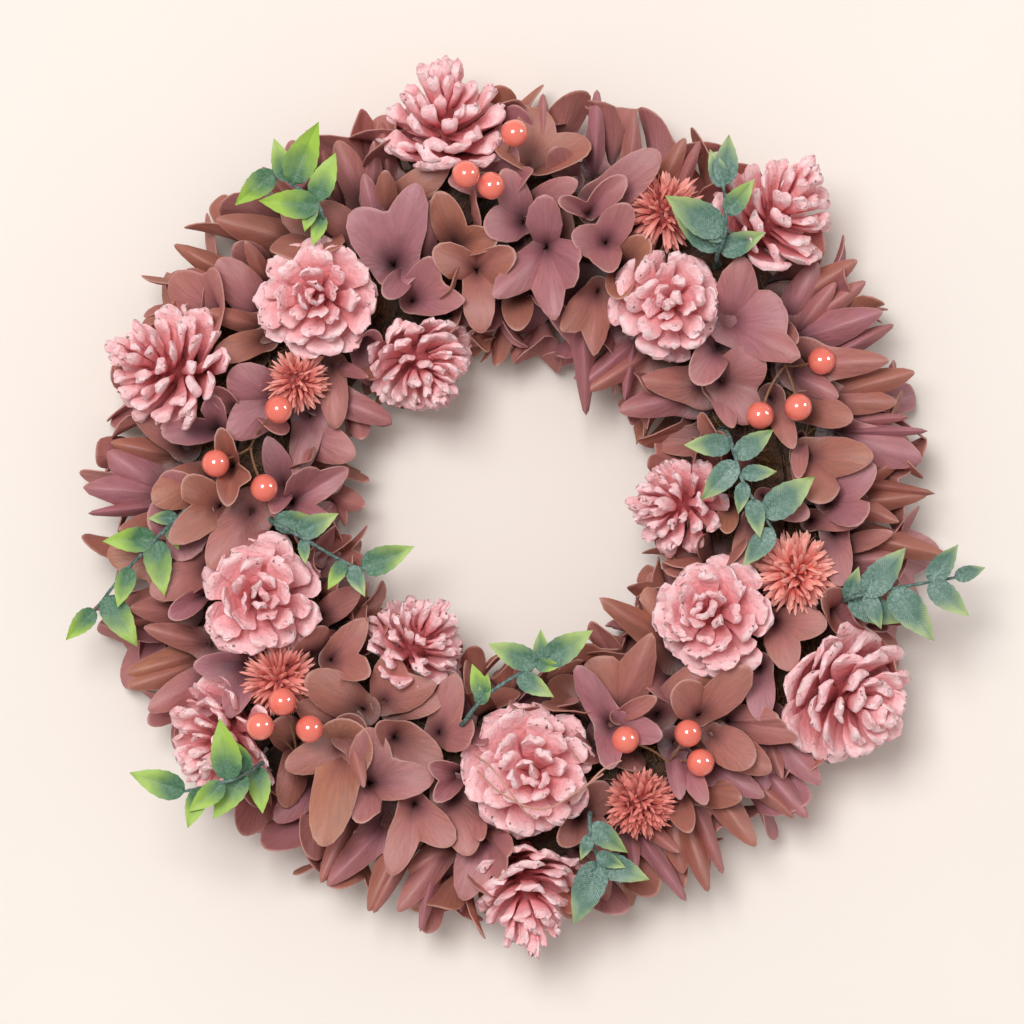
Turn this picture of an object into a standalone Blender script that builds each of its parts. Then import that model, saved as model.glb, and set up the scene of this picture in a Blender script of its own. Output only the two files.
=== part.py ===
"""A christmas wreath for a wall: curled petals, painted pine cones, dried flowers, berries and sprigs.

Everything is carried by one ring with a flat back. A bed of petal bunches covers the ring's front and sides,
and the cones, flowers, berry picks and sprigs stand on that bed. The wreath hangs from a wire pin in the top
of the ring.

Metres, +Z up. The front faces -Y and the back lies in the plane y = 0, against the wall. The origin is where
the nail enters the wall, behind the middle of the hanging pin's eye. Places on the wreath are given by a clock
angle in degrees, counter-clockwise from +X as seen from the front, by a radius from the wreath's centre, and
by a depth, which is how far they stand in front of the back.
"""

import math
import random

import bmesh
import bpy
from mathutils import Matrix, Vector
from mathutils.bvhtree import BVHTree

MM = 0.001
GAP = 0.4 * MM
MERGE = 0.01 * MM
GOLDEN_ANGLE = math.radians(137.508)

# Ring: its middle radius, and its section as (distance out from that radius, depth)
RING_RADIUS = 113 * MM
RING_STEPS = 24
RING_HALF_SECTION = ((20, 0), (28, 8), (26, 16), (19, 23), (9, 26.5))
RING_OUTER = RING_RADIUS + 28 * MM

# Hanging pin: a wire eye over two legs that stand in the top of the ring
PIN_WIRE = 0.9 * MM
PIN_EYE = 5.5 * MM
PIN_EYE_POINTS = 9
PIN_EYE_OPEN_DEG = 60
PIN_SHOULDER = 1.5 * MM
PIN_LEG_SPREAD = 2.6 * MM
PIN_LEG = 14 * MM
PIN_NECK = 9 * MM
PIN_DEPTH = 7 * MM
PIN_HOLE_ABOVE = 6 * MM

CENTRE = Vector((0, 0, -(RING_OUTER + PIN_NECK)))
FRONT = Vector((0, -1, 0))

# Bed: the joined roots of the petals, a layer over the ring's front and sides, in bunches round the ring
BED_THICK = 4 * MM
BED_SECTION = ((0.5, 26.5), (9, 26.5), (19, 23), (26, 16), (27.5, 10))
BUNCHES = 8
BUNCH_GAP_DEG = 0.35

# The wreath's open middle, kept clear by everything, as distances from the centre
HOLE_LEFT = 36 * MM
HOLE_RIGHT = 45 * MM
HOLE_UP = 37 * MM
HOLE_DOWN = 35 * MM
WALL_GAP = 1 * MM

# Petal rows: distance out from the ring's middle, lean out from the front in degrees, least distance
# between blooms, petal length and width, and the spread of the petals from the bloom's own axis in degrees
PETAL_ROWS = {
    "front_out": (12, 22, 29, 26, 18, 54),
    "front_in": (-9, -18, 31, 25, 18, 54),
    "rim_front": (24, 56, 35, 29, 16, 38),
    "rim_back": (27.5, 84, 36, 30, 14, 28),
    "hole_front": (-22, -52, 34, 25, 16, 40),
    "hole_back": (-27.5, -82, 40, 25, 13, 27),
}
# Blooms of two rows may stand this share of a row's least distance apart. A place is tried every CLOCK_STEP
# degrees, and a bloom is held clear of those rooted within BLOOM_REACH.
ROW_SPACING = 0.6
CLOCK_STEP = 2.5
BLOOM_REACH = 75 * MM
PETALS = 3
PETAL_THICK = 0.8 * MM
PETAL_ROOT_RADIUS = 1.2 * MM
PETAL_ROOT_DEPTH = 3 * MM
# Up a petal, from root to end: share of the length, share of the width, share of the spread
PETAL_OUTLINE = ((0, 0, 0.75), (0.62, 1.0, 0.85), (1, 0.60, 1.0))
PETAL_SEED = 20
# A bloom's tries, each looser than the last: its lean and its turn round the ring in degrees, and its size
PETAL_TRIES = 40
BLOOM_LEAN_DEG = 6
BLOOM_ROUND_DEG = 8
BLOOM_LOOSER = 4
BLOOM_SIZE = 1.04
BLOOM_SIZE_SPREAD = 0.04
BLOOM_SHRINK = 0.4
# No bloom is rooted within this share of an ornament's diameter, measured this far up its length
ORNAMENT_SHADE = 0.32
ORNAMENT_MIDDLE = 0.2

# Pine cones: clock angle, radius at the base, lean out and lean round (degrees), diameter, length
CONES = (
    (100.5, 137, 60, -8, 52, 50),
    (132.5, 113, 2, 0, 51, 40),
    (157, 131, 52, 4, 55, 48),
    (121, 85, -48, 0, 45, 40),
    (200, 107, -2, 0, 53, 40),
    (236, 85, -50, 0, 44, 40),
    (219.5, 134, 52, 0, 50, 44),
    (275, 107, 0, 0, 58, 42),
    (273, 135, 64, 0, 48, 48),
    (332, 99, -14, 0, 50, 40),
    (331, 140, 44, 0, 60, 46),
    (0.5, 86, -50, 0, 41, 38),
    (52, 104, 0, 0, 47, 40),
    (47.5, 138, 56, 0, 54, 50),
)
CONE_SPIN = 7
CONE_SCALES = 14
CONE_SCALE_THICK = 2.4 * MM
CONE_FOOT = 7 * MM
CONE_CORE_SHARE = 0.72
CONE_AXIS_GAP = 0.8 * MM
# From the lowest scale to the last: share of the cone's radius that a scale reaches and of the diameter that
# it is wide, then share of the length at which its root and its tip lie
CONE_REACH = (1, 0.18)
CONE_REACH_POWER = 1.25
CONE_SCALE_WIDTH = (0.34, 0.17)
CONE_ROOTS = (0.06, 0.52)
CONE_TIPS = (0.22, 1)
CONE_TIP_POWER = 0.9
# How an ornament is seated: it starts this deep in the bed and comes out by steps
SEAT_START = 1.5 * MM
SEAT_STEP = 0.2 * MM

# Dried flowers: clock angle, radius at the base, lean out, diameter
FLOWERS = (
    (149, 103, 0, 27),
    (217, 116, 4, 29),
    (294, 127, 22, 31),
    (347, 119, 10, 33),
    (62, 131, 34, 33),
)
FLOWER_SPIKES = 22
FLOWER_SEED = 7
# Shares of a flower's diameter: its core's radius, where a spike is rooted, and the spike's width at its root
FLOWER_CORE = 0.30
FLOWER_ROOT = 0.18
FLOWER_SPIKE = 0.07
FLOWER_REACH = (0.46, 0.50)
# How far the spikes spread over the core, where 2 is all round it, and their sway in radians
FLOWER_COVER = 1.45
FLOWER_SWAY = 0.1

# Berry picks: clock angle and radius of the knot, then clock angle, radius and depth of each berry
BERRIES = (
    (91, 133, ((89, 150.5, 54), (97.2, 134, 70), (93, 129, 62))),
    (167, 107, ((157.0, 100, 62), (171.5, 119, 54), (175.5, 98.5, 54))),
    (27, 123, ((25, 140, 42), (20, 108, 52), (19, 123.5, 54))),
    (229.5, 129, ((220.8, 119.5, 64), (221.5, 132, 74), (228.2, 119.5, 60))),
    (302, 122, ((296.8, 105, 52), (308.5, 116.5, 52), (307, 129, 50))),
)
BERRY_RADIUS = 5.6 * MM
BERRY_WIRE = 0.5 * MM
BERRY_KNOT = 9 * MM

# Leafy sprigs, in millimetres from the wreath's centre: the stem as (right, up, depth) from where it stands on
# the bed to its tip, and its leaves as (share of the way up the stem, angle seen from the front, length)
SPRIGS = (
    (
        ((-73, 112, 0), (-74, 116, 56), (-78, 124, 60), (-86, 129, 58), (-95, 136, 52)),
        (
            (0.3, 257, 13), (0.42, 177, 24), (0.5, 252, 13), (0.5, 63, 21), (0.8, 70, 27), (0.85, 108, 18),
            (1, 216, 21),
        ),
    ),
    (
        ((-126, 2, 0), (-131, -2, 46), (-143, -14, 50), (-157, -29, 46), (-169, -44, 38)),
        (
            (0.3, 182, 12), (0.4, 293, 10), (0.5, 179, 21), (0.5, 275, 23), (0.7, 253, 17), (0.9, 300, 24),
            (1, 223, 17),
        ),
    ),
    (
        ((-98, -4, 0), (-95, -6, 52), (-85, -11, 58), (-66, -22, 56), (-58, -25, 54)),
        ((0.25, 358, 19), (0.5, 29, 19), (0.55, 270, 10), (0.8, 239, 13), (0.85, 290, 14), (1, 20, 23)),
    ),
    (
        ((-98, -101, 0), (-99, -103, 56), (-108, -108, 74), (-119, -111, 76), (-131, -114, 70)),
        (
            (0.3, 280, 19), (0.4, 131, 19), (0.45, 233, 22), (0.6, 94, 25), (0.65, 223, 18),
            (0.85, 251, 17), (1, 160, 23),
        ),
    ),
    (
        ((-19, -90, 0), (-18, -87, 52), (-9, -76, 57), (6, -66, 58), (16, -61, 56)),
        (
            (0.45, 70, 13), (0.5, 112, 15), (0.75, 329, 17), (0.9, 358, 11), (0.92, 158, 21),
            (0.97, 92, 13), (1, 29, 23),
        ),
    ),
    (
        ((33, -122, 0), (33, -124, 52), (33, -131, 56), (35, -138, 54), (37, -144, 50)),
        ((0.4, 320, 19), (0.55, 244, 11), (0.85, 334, 13), (0.95, 335, 22), (1, 245, 27)),
    ),
    (
        ((132, -38, 0), (137, -37, 50), (148, -34, 56), (165, -31, 54), (183, -28, 48)),
        (
            (0.22, 66, 14), (0.25, 335, 24), (0.42, 46, 25), (0.45, 289, 15), (0.62, 310, 27),
            (0.85, 54, 19), (0.85, 316, 21), (1, 20, 13),
        ),
    ),
    (
        ((88, 32, 0), (89, 28, 56), (94, 11, 60), (101, -1, 60), (107, -10, 58)),
        (
            (0.3, 175, 19), (0.38, 36, 19), (0.42, 224, 21), (0.5, 8, 14), (0.55, 257, 13), (0.68, 279, 16),
            (0.85, 39, 26), (1, 236, 19),
        ),
    ),
    (
        ((84, 97, 0), (84, 101, 58), (87, 110, 66), (87, 120, 68), (86, 131, 64)),
        (
            (0.3, 19, 20), (0.33, 140, 25), (0.45, 157, 11), (0.52, 151, 28), (0.7, 54, 18),
            (0.97, 110, 16), (1, 81, 20),
        ),
    ),
)
STEM_RADIUS = 1.0 * MM
STEM_RISE = 7 * MM
STEM_POINTS = 6
# Up a leaf, from base to point: share of the length, share of the width
LEAF_OUTLINE = ((0, 0), (0.45, 1), (1, 0))
LEAF_WIDTH = 0.52
LEAF_THICK = 0.7 * MM
LEAF_FOLD = 0.4
LEAF_DROOP = 0.12
LEAF_INSET = 0.2
# A leaf's tries: its lift at first, how far lift and roll swing in degrees, and how much smaller it may get
LEAF_TRIES = 40
LEAF_LIFT_DEG = 12
LEAF_SWING_DEG = 60
LEAF_ROLL_DEG = 50
LEAF_SHRINK = 0.3

# Finishes: colour, roughness, metallic
FINISHES = {
    "straw": ((0.26, 0.15, 0.08), 0.9, 0.0),
    "wire": ((0.55, 0.53, 0.50), 0.35, 1.0),
    "petal": ((0.36, 0.17, 0.15), 0.65, 0.0),
    "cone_paint": ((0.82, 0.40, 0.40), 0.6, 0.0),
    "coral_flower": ((0.80, 0.24, 0.18), 0.7, 0.0),
    "berry": ((0.90, 0.22, 0.16), 0.12, 0.0),
    "leaf": ((0.16, 0.36, 0.18), 0.45, 0.0),
}


# Scene and materials


def clear_scene():
    for obj in list(bpy.data.objects):
        bpy.data.objects.remove(obj)


def new_collection(name):
    collection = bpy.data.collections.new(name)
    bpy.context.scene.collection.children.link(collection)
    return collection


def finish_material(name):
    """A Principled material for one of the FINISHES."""
    found = bpy.data.materials.get(name)
    if found:
        return found
    colour, roughness, metallic = FINISHES[name]
    material = bpy.data.materials.new(name)
    material.use_nodes = True
    shader = material.node_tree.nodes["Principled BSDF"]
    shader.inputs["Base Color"].default_value = (*colour, 1)
    shader.inputs["Roughness"].default_value = roughness
    shader.inputs["Metallic"].default_value = metallic
    material.diffuse_color = (*colour, 1)
    return material


def object_from(bm, name, collection):
    """An object that holds bm's mesh, with bm freed."""
    mesh = bpy.data.meshes.new(name)
    bm.to_mesh(mesh)
    bm.free()
    obj = bpy.data.objects.new(name, mesh)
    collection.objects.link(obj)
    return obj


def set_finish(obj, finish, smooth_deg=30):
    obj.data.materials.clear()
    obj.data.materials.append(finish_material(finish))
    obj.data.shade_smooth()
    obj.data.set_sharp_from_angle(angle=math.radians(smooth_deg))
    return obj


def fuse(name, shapes, finish, collection):
    """One closed body: the first shape, with the others joined to it by a Boolean union on a collection."""
    base, others = shapes[0], shapes[1:]
    base.name = name + "_base"
    joined = bpy.data.collections.new(name + "_joined")
    for shape in others:
        for owner in list(shape.users_collection):
            owner.objects.unlink(shape)
        joined.objects.link(shape)
    if others:
        union = base.modifiers.new("Union", "BOOLEAN")
        union.operation = "UNION"
        union.operand_type = "COLLECTION"
        union.collection = joined
        union.solver = "MANIFOLD"
    bpy.context.view_layer.update()
    graph = bpy.context.evaluated_depsgraph_get()
    mesh = bpy.data.meshes.new_from_object(base.evaluated_get(graph))
    node = bpy.data.objects.new(name, mesh)
    collection.objects.link(node)
    for shape in shapes:
        bpy.data.objects.remove(shape)
    bpy.data.collections.remove(joined)
    mesh.name = name
    return set_finish(node, finish)


# Places on the wreath


def place(clock, radius, depth):
    """The point at that clock angle, radius and depth, the last two in metres."""
    turn = math.radians(clock)
    return CENTRE + Vector((radius * math.cos(turn), -depth, radius * math.sin(turn)))


def direction(clock, lean_out, lean_round=0.0):
    """The unit vector that leans lean_out degrees out from the front, and lean_round round the ring."""
    turn, out, around = math.radians(clock), math.radians(lean_out), math.radians(lean_round)
    radial = Vector((math.cos(turn), 0, math.sin(turn)))
    tangent = Vector((-math.sin(turn), 0, math.cos(turn)))
    level = FRONT * math.cos(out) + radial * math.sin(out)
    return (level * math.cos(around) + tangent * math.sin(around)).normalized()


def offset_section(section, by):
    """The open section moved outwards by a distance, each corner along its two sides' mean normal."""
    points = [Vector((out * MM, depth * MM)) for out, depth in section]
    normals = []
    for a, b in zip(points, points[1:]):
        side = (b - a).normalized()
        normals.append(Vector((-side.y, side.x)))
    moved = []
    for i, point in enumerate(points):
        near = normals[max(i - 1, 0)], normals[min(i, len(normals) - 1)]
        mean = (near[0] + near[1]).normalized()
        moved.append(point + mean * by / mean.dot(near[0]))
    return moved


BED_FACE = offset_section(BED_SECTION, GAP + BED_THICK)


def on_bed(clock, out_mm):
    """(point, outward direction) on the bed's face, out_mm from the ring's middle radius."""
    side = 1 if out_mm >= 0 else -1
    reach = abs(out_mm) * MM
    for a, b in zip(BED_FACE, BED_FACE[1:]):
        if reach <= b.x:
            break
    share = min(max((reach - a.x) / (b.x - a.x), 0), 1)
    here = a.lerp(b, share)
    along = (b - a).normalized()
    lean = math.degrees(math.atan2(-along.y, along.x))
    return place(clock, RING_RADIUS + side * here.x, here.y), direction(clock, side * lean)


def frame_of(axis, origin, spin=0.0):
    """The matrix that takes local +Z to axis and the local origin to origin, turned by spin about axis."""
    turn = axis.to_track_quat("Z", "Y").to_matrix().to_4x4()
    return Matrix.Translation(origin) @ turn @ Matrix.Rotation(spin, 4, "Z")


# Clearances


def mesh_shape(obj):
    """The object's points and faces."""
    return [v.co.copy() for v in obj.data.vertices], [tuple(p.vertices) for p in obj.data.polygons]


def evaluated_shape(obj):
    """The points and faces of the object with its modifiers, in world space."""
    bpy.context.view_layer.update()
    mesh = obj.evaluated_get(bpy.context.evaluated_depsgraph_get()).data
    return [obj.matrix_world @ v.co for v in mesh.vertices], [tuple(p.vertices) for p in mesh.polygons]


def bmesh_shape(bm):
    """The bmesh's points and faces."""
    bm.verts.index_update()
    return [v.co.copy() for v in bm.verts], [tuple(v.index for v in f.verts) for f in bm.faces]


def tree_of(shapes):
    """A search tree over several shapes' points and faces."""
    points, faces = [], []
    for some_points, some_faces in shapes:
        start = len(points)
        points.extend(some_points)
        faces.extend(tuple(start + i for i in face) for face in some_faces)
    return BVHTree.FromPolygons(points, faces)


def in_the_way(shape, trees):
    """True if the shape reaches the wall or the wreath's open middle, or cuts one of the trees."""
    for point in shape[0]:
        from_centre = point - CENTRE
        if point.y > -WALL_GAP:
            return True
        if -HOLE_LEFT < from_centre.x < HOLE_RIGHT and -HOLE_DOWN < from_centre.z < HOLE_UP:
            return True
    own = tree_of([shape])
    return any(own.overlap(tree) for tree in trees)


def seat(shapes, point, outward, ground):
    """Stands the shapes on the bed: from just inside it, out until nothing cuts it, and a gap more."""
    lowest = min((vertex.co - point).dot(outward) for shape in shapes for vertex in shape.data.vertices)
    shift(shapes, -outward * (lowest + SEAT_START))
    while any(tree_of([mesh_shape(shape)]).overlap(tree) for shape in shapes for tree in ground):
        shift(shapes, outward * SEAT_STEP)
    shift(shapes, outward * (GAP - SEAT_STEP / 2))


def shift(shapes, by):
    for shape in shapes:
        shape.data.transform(Matrix.Translation(by))


# Ring and hanging pin


def part_turn(name, section, angles, collection):
    """A closed section, as (radius, depth), carried through the clock angles, with flat ends."""
    bm = bmesh.new()
    loops = [[bm.verts.new(place(clock, *point)) for point in section] for clock in angles]
    for loop in loops:
        for a, b in zip(loop, loop[1:] + loop[:1]):
            bm.edges.new((a, b))
    for first, second in zip(loops, loops[1:]):
        pair = set(first + second)
        bmesh.ops.bridge_loops(bm, edges=[edge for edge in bm.edges if pair.issuperset(edge.verts)])
    bm.faces.new(loops[0])
    bm.faces.new(loops[-1])
    bmesh.ops.recalc_face_normals(bm, faces=bm.faces)
    return object_from(bm, name, collection)


def build_ring(collection):
    """The ring: its section turned once round the wreath's axis with a Screw modifier."""
    bm = bmesh.new()
    section = RING_HALF_SECTION + tuple((-out, depth) for out, depth in reversed(RING_HALF_SECTION))
    corners = [bm.verts.new((RING_RADIUS + out * MM, -depth * MM, 0)) for out, depth in section]
    for a, b in zip(corners, corners[1:] + corners[:1]):
        bm.edges.new((a, b))
    ring = object_from(bm, "ring_base", collection)
    ring.location = CENTRE
    screw = ring.modifiers.new("Turn", "SCREW")
    screw.axis = "Y"
    screw.steps = screw.render_steps = RING_STEPS
    screw.use_merge_vertices = True
    screw.merge_threshold = MERGE
    screw.use_normal_calculate = True
    return ring


def drill(target, cutter):
    """Cuts the cutter from the target and hides the cutter."""
    cut = target.modifiers.new("Hole", "BOOLEAN")
    cut.operation = "DIFFERENCE"
    cut.object = cutter
    cut.solver = "EXACT"
    cutter.hide_render = True
    cutter.display_type = "WIRE"


def tube(name, points, radius, collection, resolution=0):
    """A wire through the points, as a closed mesh of 4 sides, and 2 more for each step of resolution."""
    curve = bpy.data.curves.new(name, "CURVE")
    curve.dimensions = "3D"
    curve.bevel_depth = radius
    curve.bevel_resolution = resolution
    curve.use_fill_caps = True
    spline = curve.splines.new("POLY")
    spline.points.add(len(points) - 1)
    for slot, point in zip(spline.points, points):
        slot.co = (*point, 1)
    guide = bpy.data.objects.new(name + "_route", curve)
    collection.objects.link(guide)
    bpy.context.view_layer.update()
    graph = bpy.context.evaluated_depsgraph_get()
    mesh = bpy.data.meshes.new_from_object(guide.evaluated_get(graph))
    obj = bpy.data.objects.new(name, mesh)
    obj.matrix_world = guide.matrix_world
    bpy.data.objects.remove(guide)
    bpy.data.curves.remove(curve)
    bm = bmesh.new()
    bm.from_mesh(mesh)
    bmesh.ops.remove_doubles(bm, verts=bm.verts, dist=MERGE)
    bmesh.ops.recalc_face_normals(bm, faces=bm.faces)
    bm.to_mesh(mesh)
    bm.free()
    collection.objects.link(obj)
    return obj


def build_pin(collection, cutters, ring):
    """The hanging pin: an eye of wire round the origin, and two legs in holes in the top of the ring."""
    foot = -(PIN_NECK + PIN_LEG)
    shoulder = -PIN_EYE - PIN_SHOULDER
    outline = [(PIN_LEG_SPREAD, foot), (PIN_LEG_SPREAD, shoulder)]
    for step in range(PIN_EYE_POINTS):
        turn = math.radians(-PIN_EYE_OPEN_DEG + step * (180 + 2 * PIN_EYE_OPEN_DEG) / (PIN_EYE_POINTS - 1))
        outline.append((PIN_EYE * math.cos(turn), PIN_EYE * math.sin(turn)))
    outline += [(-PIN_LEG_SPREAD, shoulder), (-PIN_LEG_SPREAD, foot)]
    path = [Vector((right, -PIN_DEPTH, up)) for right, up in outline]
    pin = tube("hanging_pin", path, PIN_WIRE, collection, resolution=1)
    for side in (-1, 1):
        top, bottom = -PIN_NECK + PIN_HOLE_ABOVE, foot - GAP
        bpy.ops.mesh.primitive_cylinder_add(
            vertices=8,
            radius=PIN_WIRE + GAP,
            depth=top - bottom,
            location=(side * PIN_LEG_SPREAD, -PIN_DEPTH, (top + bottom) / 2),
        )
        hole = bpy.context.object
        hole.name = f"pin_hole_{side}"
        bpy.context.collection.objects.unlink(hole)
        cutters.objects.link(hole)
        drill(ring, hole)
    return set_finish(pin, "wire")


# Pine cones


def wedge(root, tip, across, width, thick):
    """A wedge from a pointed root to a blunt tip of that size. across is the direction of its width."""
    bm = bmesh.new()
    bmesh.ops.create_cube(bm, size=1)
    along = (tip - root).normalized()
    across = (across - along * across.dot(along)).normalized()
    up = along.cross(across)
    for vertex in bm.verts:
        share = vertex.co.z + 0.5
        middle = root.lerp(tip, share)
        vertex.co = middle + (across * (vertex.co.x * width) + up * (vertex.co.y * thick)) * share
    bmesh.ops.remove_doubles(bm, verts=bm.verts, dist=MERGE)
    bmesh.ops.recalc_face_normals(bm, faces=bm.faces)
    return bm


def between(ends, share):
    return ends[0] + (ends[1] - ends[0]) * share


def cone_scale(number, diameter, length):
    """(root, tip, width) in the cone's frame of one scale, from the lowest, 0, to the last at the tip."""
    share = number / (CONE_SCALES - 1)
    turn = number * GOLDEN_ANGLE
    side = Vector((math.cos(turn), math.sin(turn), 0))
    up = Vector((0, 0, length))
    root = side * CONE_AXIS_GAP + up * between(CONE_ROOTS, share)
    reach = diameter / 2 * between(CONE_REACH, share**CONE_REACH_POWER)
    tip = side * reach + up * between(CONE_TIPS, share**CONE_TIP_POWER)
    return root, tip, diameter * between(CONE_SCALE_WIDTH, share)


def build_cone(name, row, ground, collection):
    """A pine cone: an egg-shaped core and scales up it by the golden angle, flattest at the base."""
    clock, radius, lean_out, lean_round, diameter, length = row
    diameter, length = diameter * MM, length * MM
    bm = bmesh.new()
    bmesh.ops.create_uvsphere(bm, u_segments=6, v_segments=4, radius=CONE_FOOT)
    for vertex in bm.verts:
        if vertex.co.z > 0:
            vertex.co.z *= CONE_CORE_SHARE * length / CONE_FOOT
    shapes = [object_from(bm, name + "_core", collection)]
    for number in range(CONE_SCALES):
        root, tip, width = cone_scale(number, diameter, length)
        across = Vector((-tip.y, tip.x, 0))
        bm = wedge(root, tip, across, width, CONE_SCALE_THICK)
        shapes.append(object_from(bm, name + "_scale", collection))
    point, outward = on_bed(clock, radius - RING_RADIUS / MM)
    matrix = frame_of(direction(clock, lean_out, lean_round), point, math.radians(clock * CONE_SPIN))
    for shape in shapes:
        shape.data.transform(matrix)
    seat(shapes, point, outward, ground)
    return fuse(name, shapes, "cone_paint", collection)


# Dried flowers


def build_flower(name, row, number, ground, collection):
    """A dried flower: a dome with three-sided spikes standing out of it all over."""
    clock, radius, lean_out, diameter = row
    diameter *= MM
    root, base = diameter * FLOWER_ROOT, diameter * FLOWER_SPIKE
    draw = random.Random(FLOWER_SEED + number)
    bm = bmesh.new()
    bmesh.ops.create_uvsphere(bm, u_segments=7, v_segments=4, radius=diameter * FLOWER_CORE)
    shapes = [object_from(bm, name + "_core", collection)]
    for spike in range(FLOWER_SPIKES):
        share = (spike + 0.5) / FLOWER_SPIKES
        polar = math.acos(1 - FLOWER_COVER * share)
        turn = spike * GOLDEN_ANGLE + draw.uniform(-FLOWER_SWAY, FLOWER_SWAY)
        way = Vector((math.sin(polar) * math.cos(turn), math.sin(polar) * math.sin(turn), math.cos(polar)))
        reach = diameter * draw.uniform(*FLOWER_REACH)
        bm = bmesh.new()
        bmesh.ops.create_cone(bm, segments=3, radius1=base, radius2=0, depth=reach - root, cap_ends=True)
        bmesh.ops.transform(bm, matrix=frame_of(way, way * (reach + root) / 2), verts=bm.verts)
        shapes.append(object_from(bm, name + "_spike", collection))
    point, outward = on_bed(clock, radius - RING_RADIUS / MM)
    matrix = frame_of(direction(clock, lean_out), point)
    for shape in shapes:
        shape.data.transform(matrix)
    seat(shapes, point, outward, ground)
    return fuse(name, shapes, "coral_flower", collection)


# Berry picks


def build_berries(name, row, collection):
    """Three berries on wires that are twisted into one short stalk on the bed."""
    clock, radius, berries = row
    foot, outward = on_bed(clock, radius - RING_RADIUS / MM)
    knot = foot + outward * BERRY_KNOT
    stalk = tube(name + "_stalk", [foot + outward * GAP, knot + outward * MM], 2 * BERRY_WIRE, collection)
    shapes = [stalk]
    for berry_clock, berry_radius, berry_depth in berries:
        middle = place(berry_clock, berry_radius * MM, berry_depth * MM)
        shapes.append(tube(name + "_wire", [knot, middle], BERRY_WIRE, collection))
        bm = bmesh.new()
        bmesh.ops.create_uvsphere(bm, u_segments=7, v_segments=5, radius=BERRY_RADIUS)
        bmesh.ops.transform(bm, matrix=frame_of((middle - knot).normalized(), middle), verts=bm.verts)
        shapes.append(object_from(bm, name + "_berry", collection))
    return fuse(name, shapes, "berry", collection)


# Leafy sprigs


def smooth_path(points, count):
    """count points on a Catmull-Rom curve through the given points."""
    ends = [points[0] * 2 - points[1]] + list(points) + [points[-1] * 2 - points[-2]]
    spans = len(points) - 1
    found = []
    for i in range(count):
        where = i * spans / (count - 1)
        span = min(int(where), spans - 1)
        t = where - span
        a, b, c, d = ends[span : span + 4]
        bend = (2 * a - 5 * b + 4 * c - d) * t**2 + (3 * b - a - 3 * c + d) * t**3
        found.append((2 * b + (c - a) * t + bend) / 2)
    return found


def leaf_blade(base, way, face, length, width, thick):
    """A folded, pointed leaf blade from base along way. face is the way that its upper side looks."""
    across = way.cross(face).normalized()
    up = across.cross(way).normalized()
    bm = bmesh.new()
    bmesh.ops.create_grid(bm, x_segments=2, y_segments=2, size=0.5)
    for vertex in bm.verts:
        share, wide = LEAF_OUTLINE[round(2 * vertex.co.y) + 1]
        out = vertex.co.x * wide * width
        rise = LEAF_FOLD * abs(out) - LEAF_DROOP * length * share**2
        vertex.co = base + way * (share * length) + across * out + up * rise
    bmesh.ops.remove_doubles(bm, verts=bm.verts, dist=MERGE)
    bmesh.ops.solidify(bm, geom=bm.faces[:], thickness=thick)
    bmesh.ops.recalc_face_normals(bm, faces=bm.faces)
    return bm


def leaf_tries(angle, length):
    """The tries for one leaf, most wanted first: (way, face, length, width), lifted and rolled by turns."""
    turn = math.radians(angle)
    level = Vector((math.cos(turn), 0, math.sin(turn)))
    for attempt in range(LEAF_TRIES):
        swing = attempt / LEAF_TRIES * (1 if attempt % 2 else -1)
        lift = math.radians(LEAF_LIFT_DEG + LEAF_SWING_DEG * swing)
        way = level * math.cos(lift) + FRONT * math.sin(lift)
        face = Matrix.Rotation(math.radians(LEAF_ROLL_DEG * swing), 3, way) @ FRONT
        size = length * MM * (1 - LEAF_SHRINK * attempt / LEAF_TRIES)
        yield way, face, size, size * LEAF_WIDTH


def build_sprig(name, row, trees, collection):
    """A leafy sprig: a bent stem on the bed, with folded leaves along it."""
    stem, leaves = row
    right, up, _ = stem[0]
    foot, outward = on_bed(math.degrees(math.atan2(up, right)), math.hypot(right, up) - RING_RADIUS / MM)
    bends = [CENTRE + Vector((right, -depth, up)) * MM for right, up, depth in stem[1:]]
    line = smooth_path([foot + outward * STEM_RISE] + bends, STEM_POINTS)
    shapes = [tube(name + "_stem", [foot + outward * GAP] + line, STEM_RADIUS, collection)]
    for share, angle, length in leaves:
        where = share * (len(line) - 1 - LEAF_INSET)
        step = min(int(where), len(line) - 2)
        base = line[step].lerp(line[step + 1], where - step)
        for way, face, size, width in leaf_tries(angle, length):
            wide = leaf_blade(base, way, face, size + GAP, width + 2 * GAP, LEAF_THICK + 2 * GAP)
            blocked = in_the_way(bmesh_shape(wide), trees)
            wide.free()
            if not blocked:
                blade = leaf_blade(base, way, face, size, width, LEAF_THICK)
                shapes.append(object_from(blade, name + "_leaf", collection))
                break
    return fuse(name, shapes, "leaf", collection)


# Petal bunches


def bed_piece(name, side, number, collection):
    """One bunch's bed: a shell over half of the ring's front and its side, and over one share of the turn."""
    inner = offset_section(BED_SECTION, GAP)
    section = [(RING_RADIUS + side * p.x, p.y) for p in inner]
    section += [(RING_RADIUS + side * p.x, p.y) for p in reversed(BED_FACE)]
    span = 360 / BUNCHES
    steps = RING_STEPS // BUNCHES
    start = number * span
    angles = [start + span * i / steps for i in range(steps + 1)]
    angles[0] += BUNCH_GAP_DEG
    angles[-1] -= BUNCH_GAP_DEG
    return part_turn(name, section, angles, collection)


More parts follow.
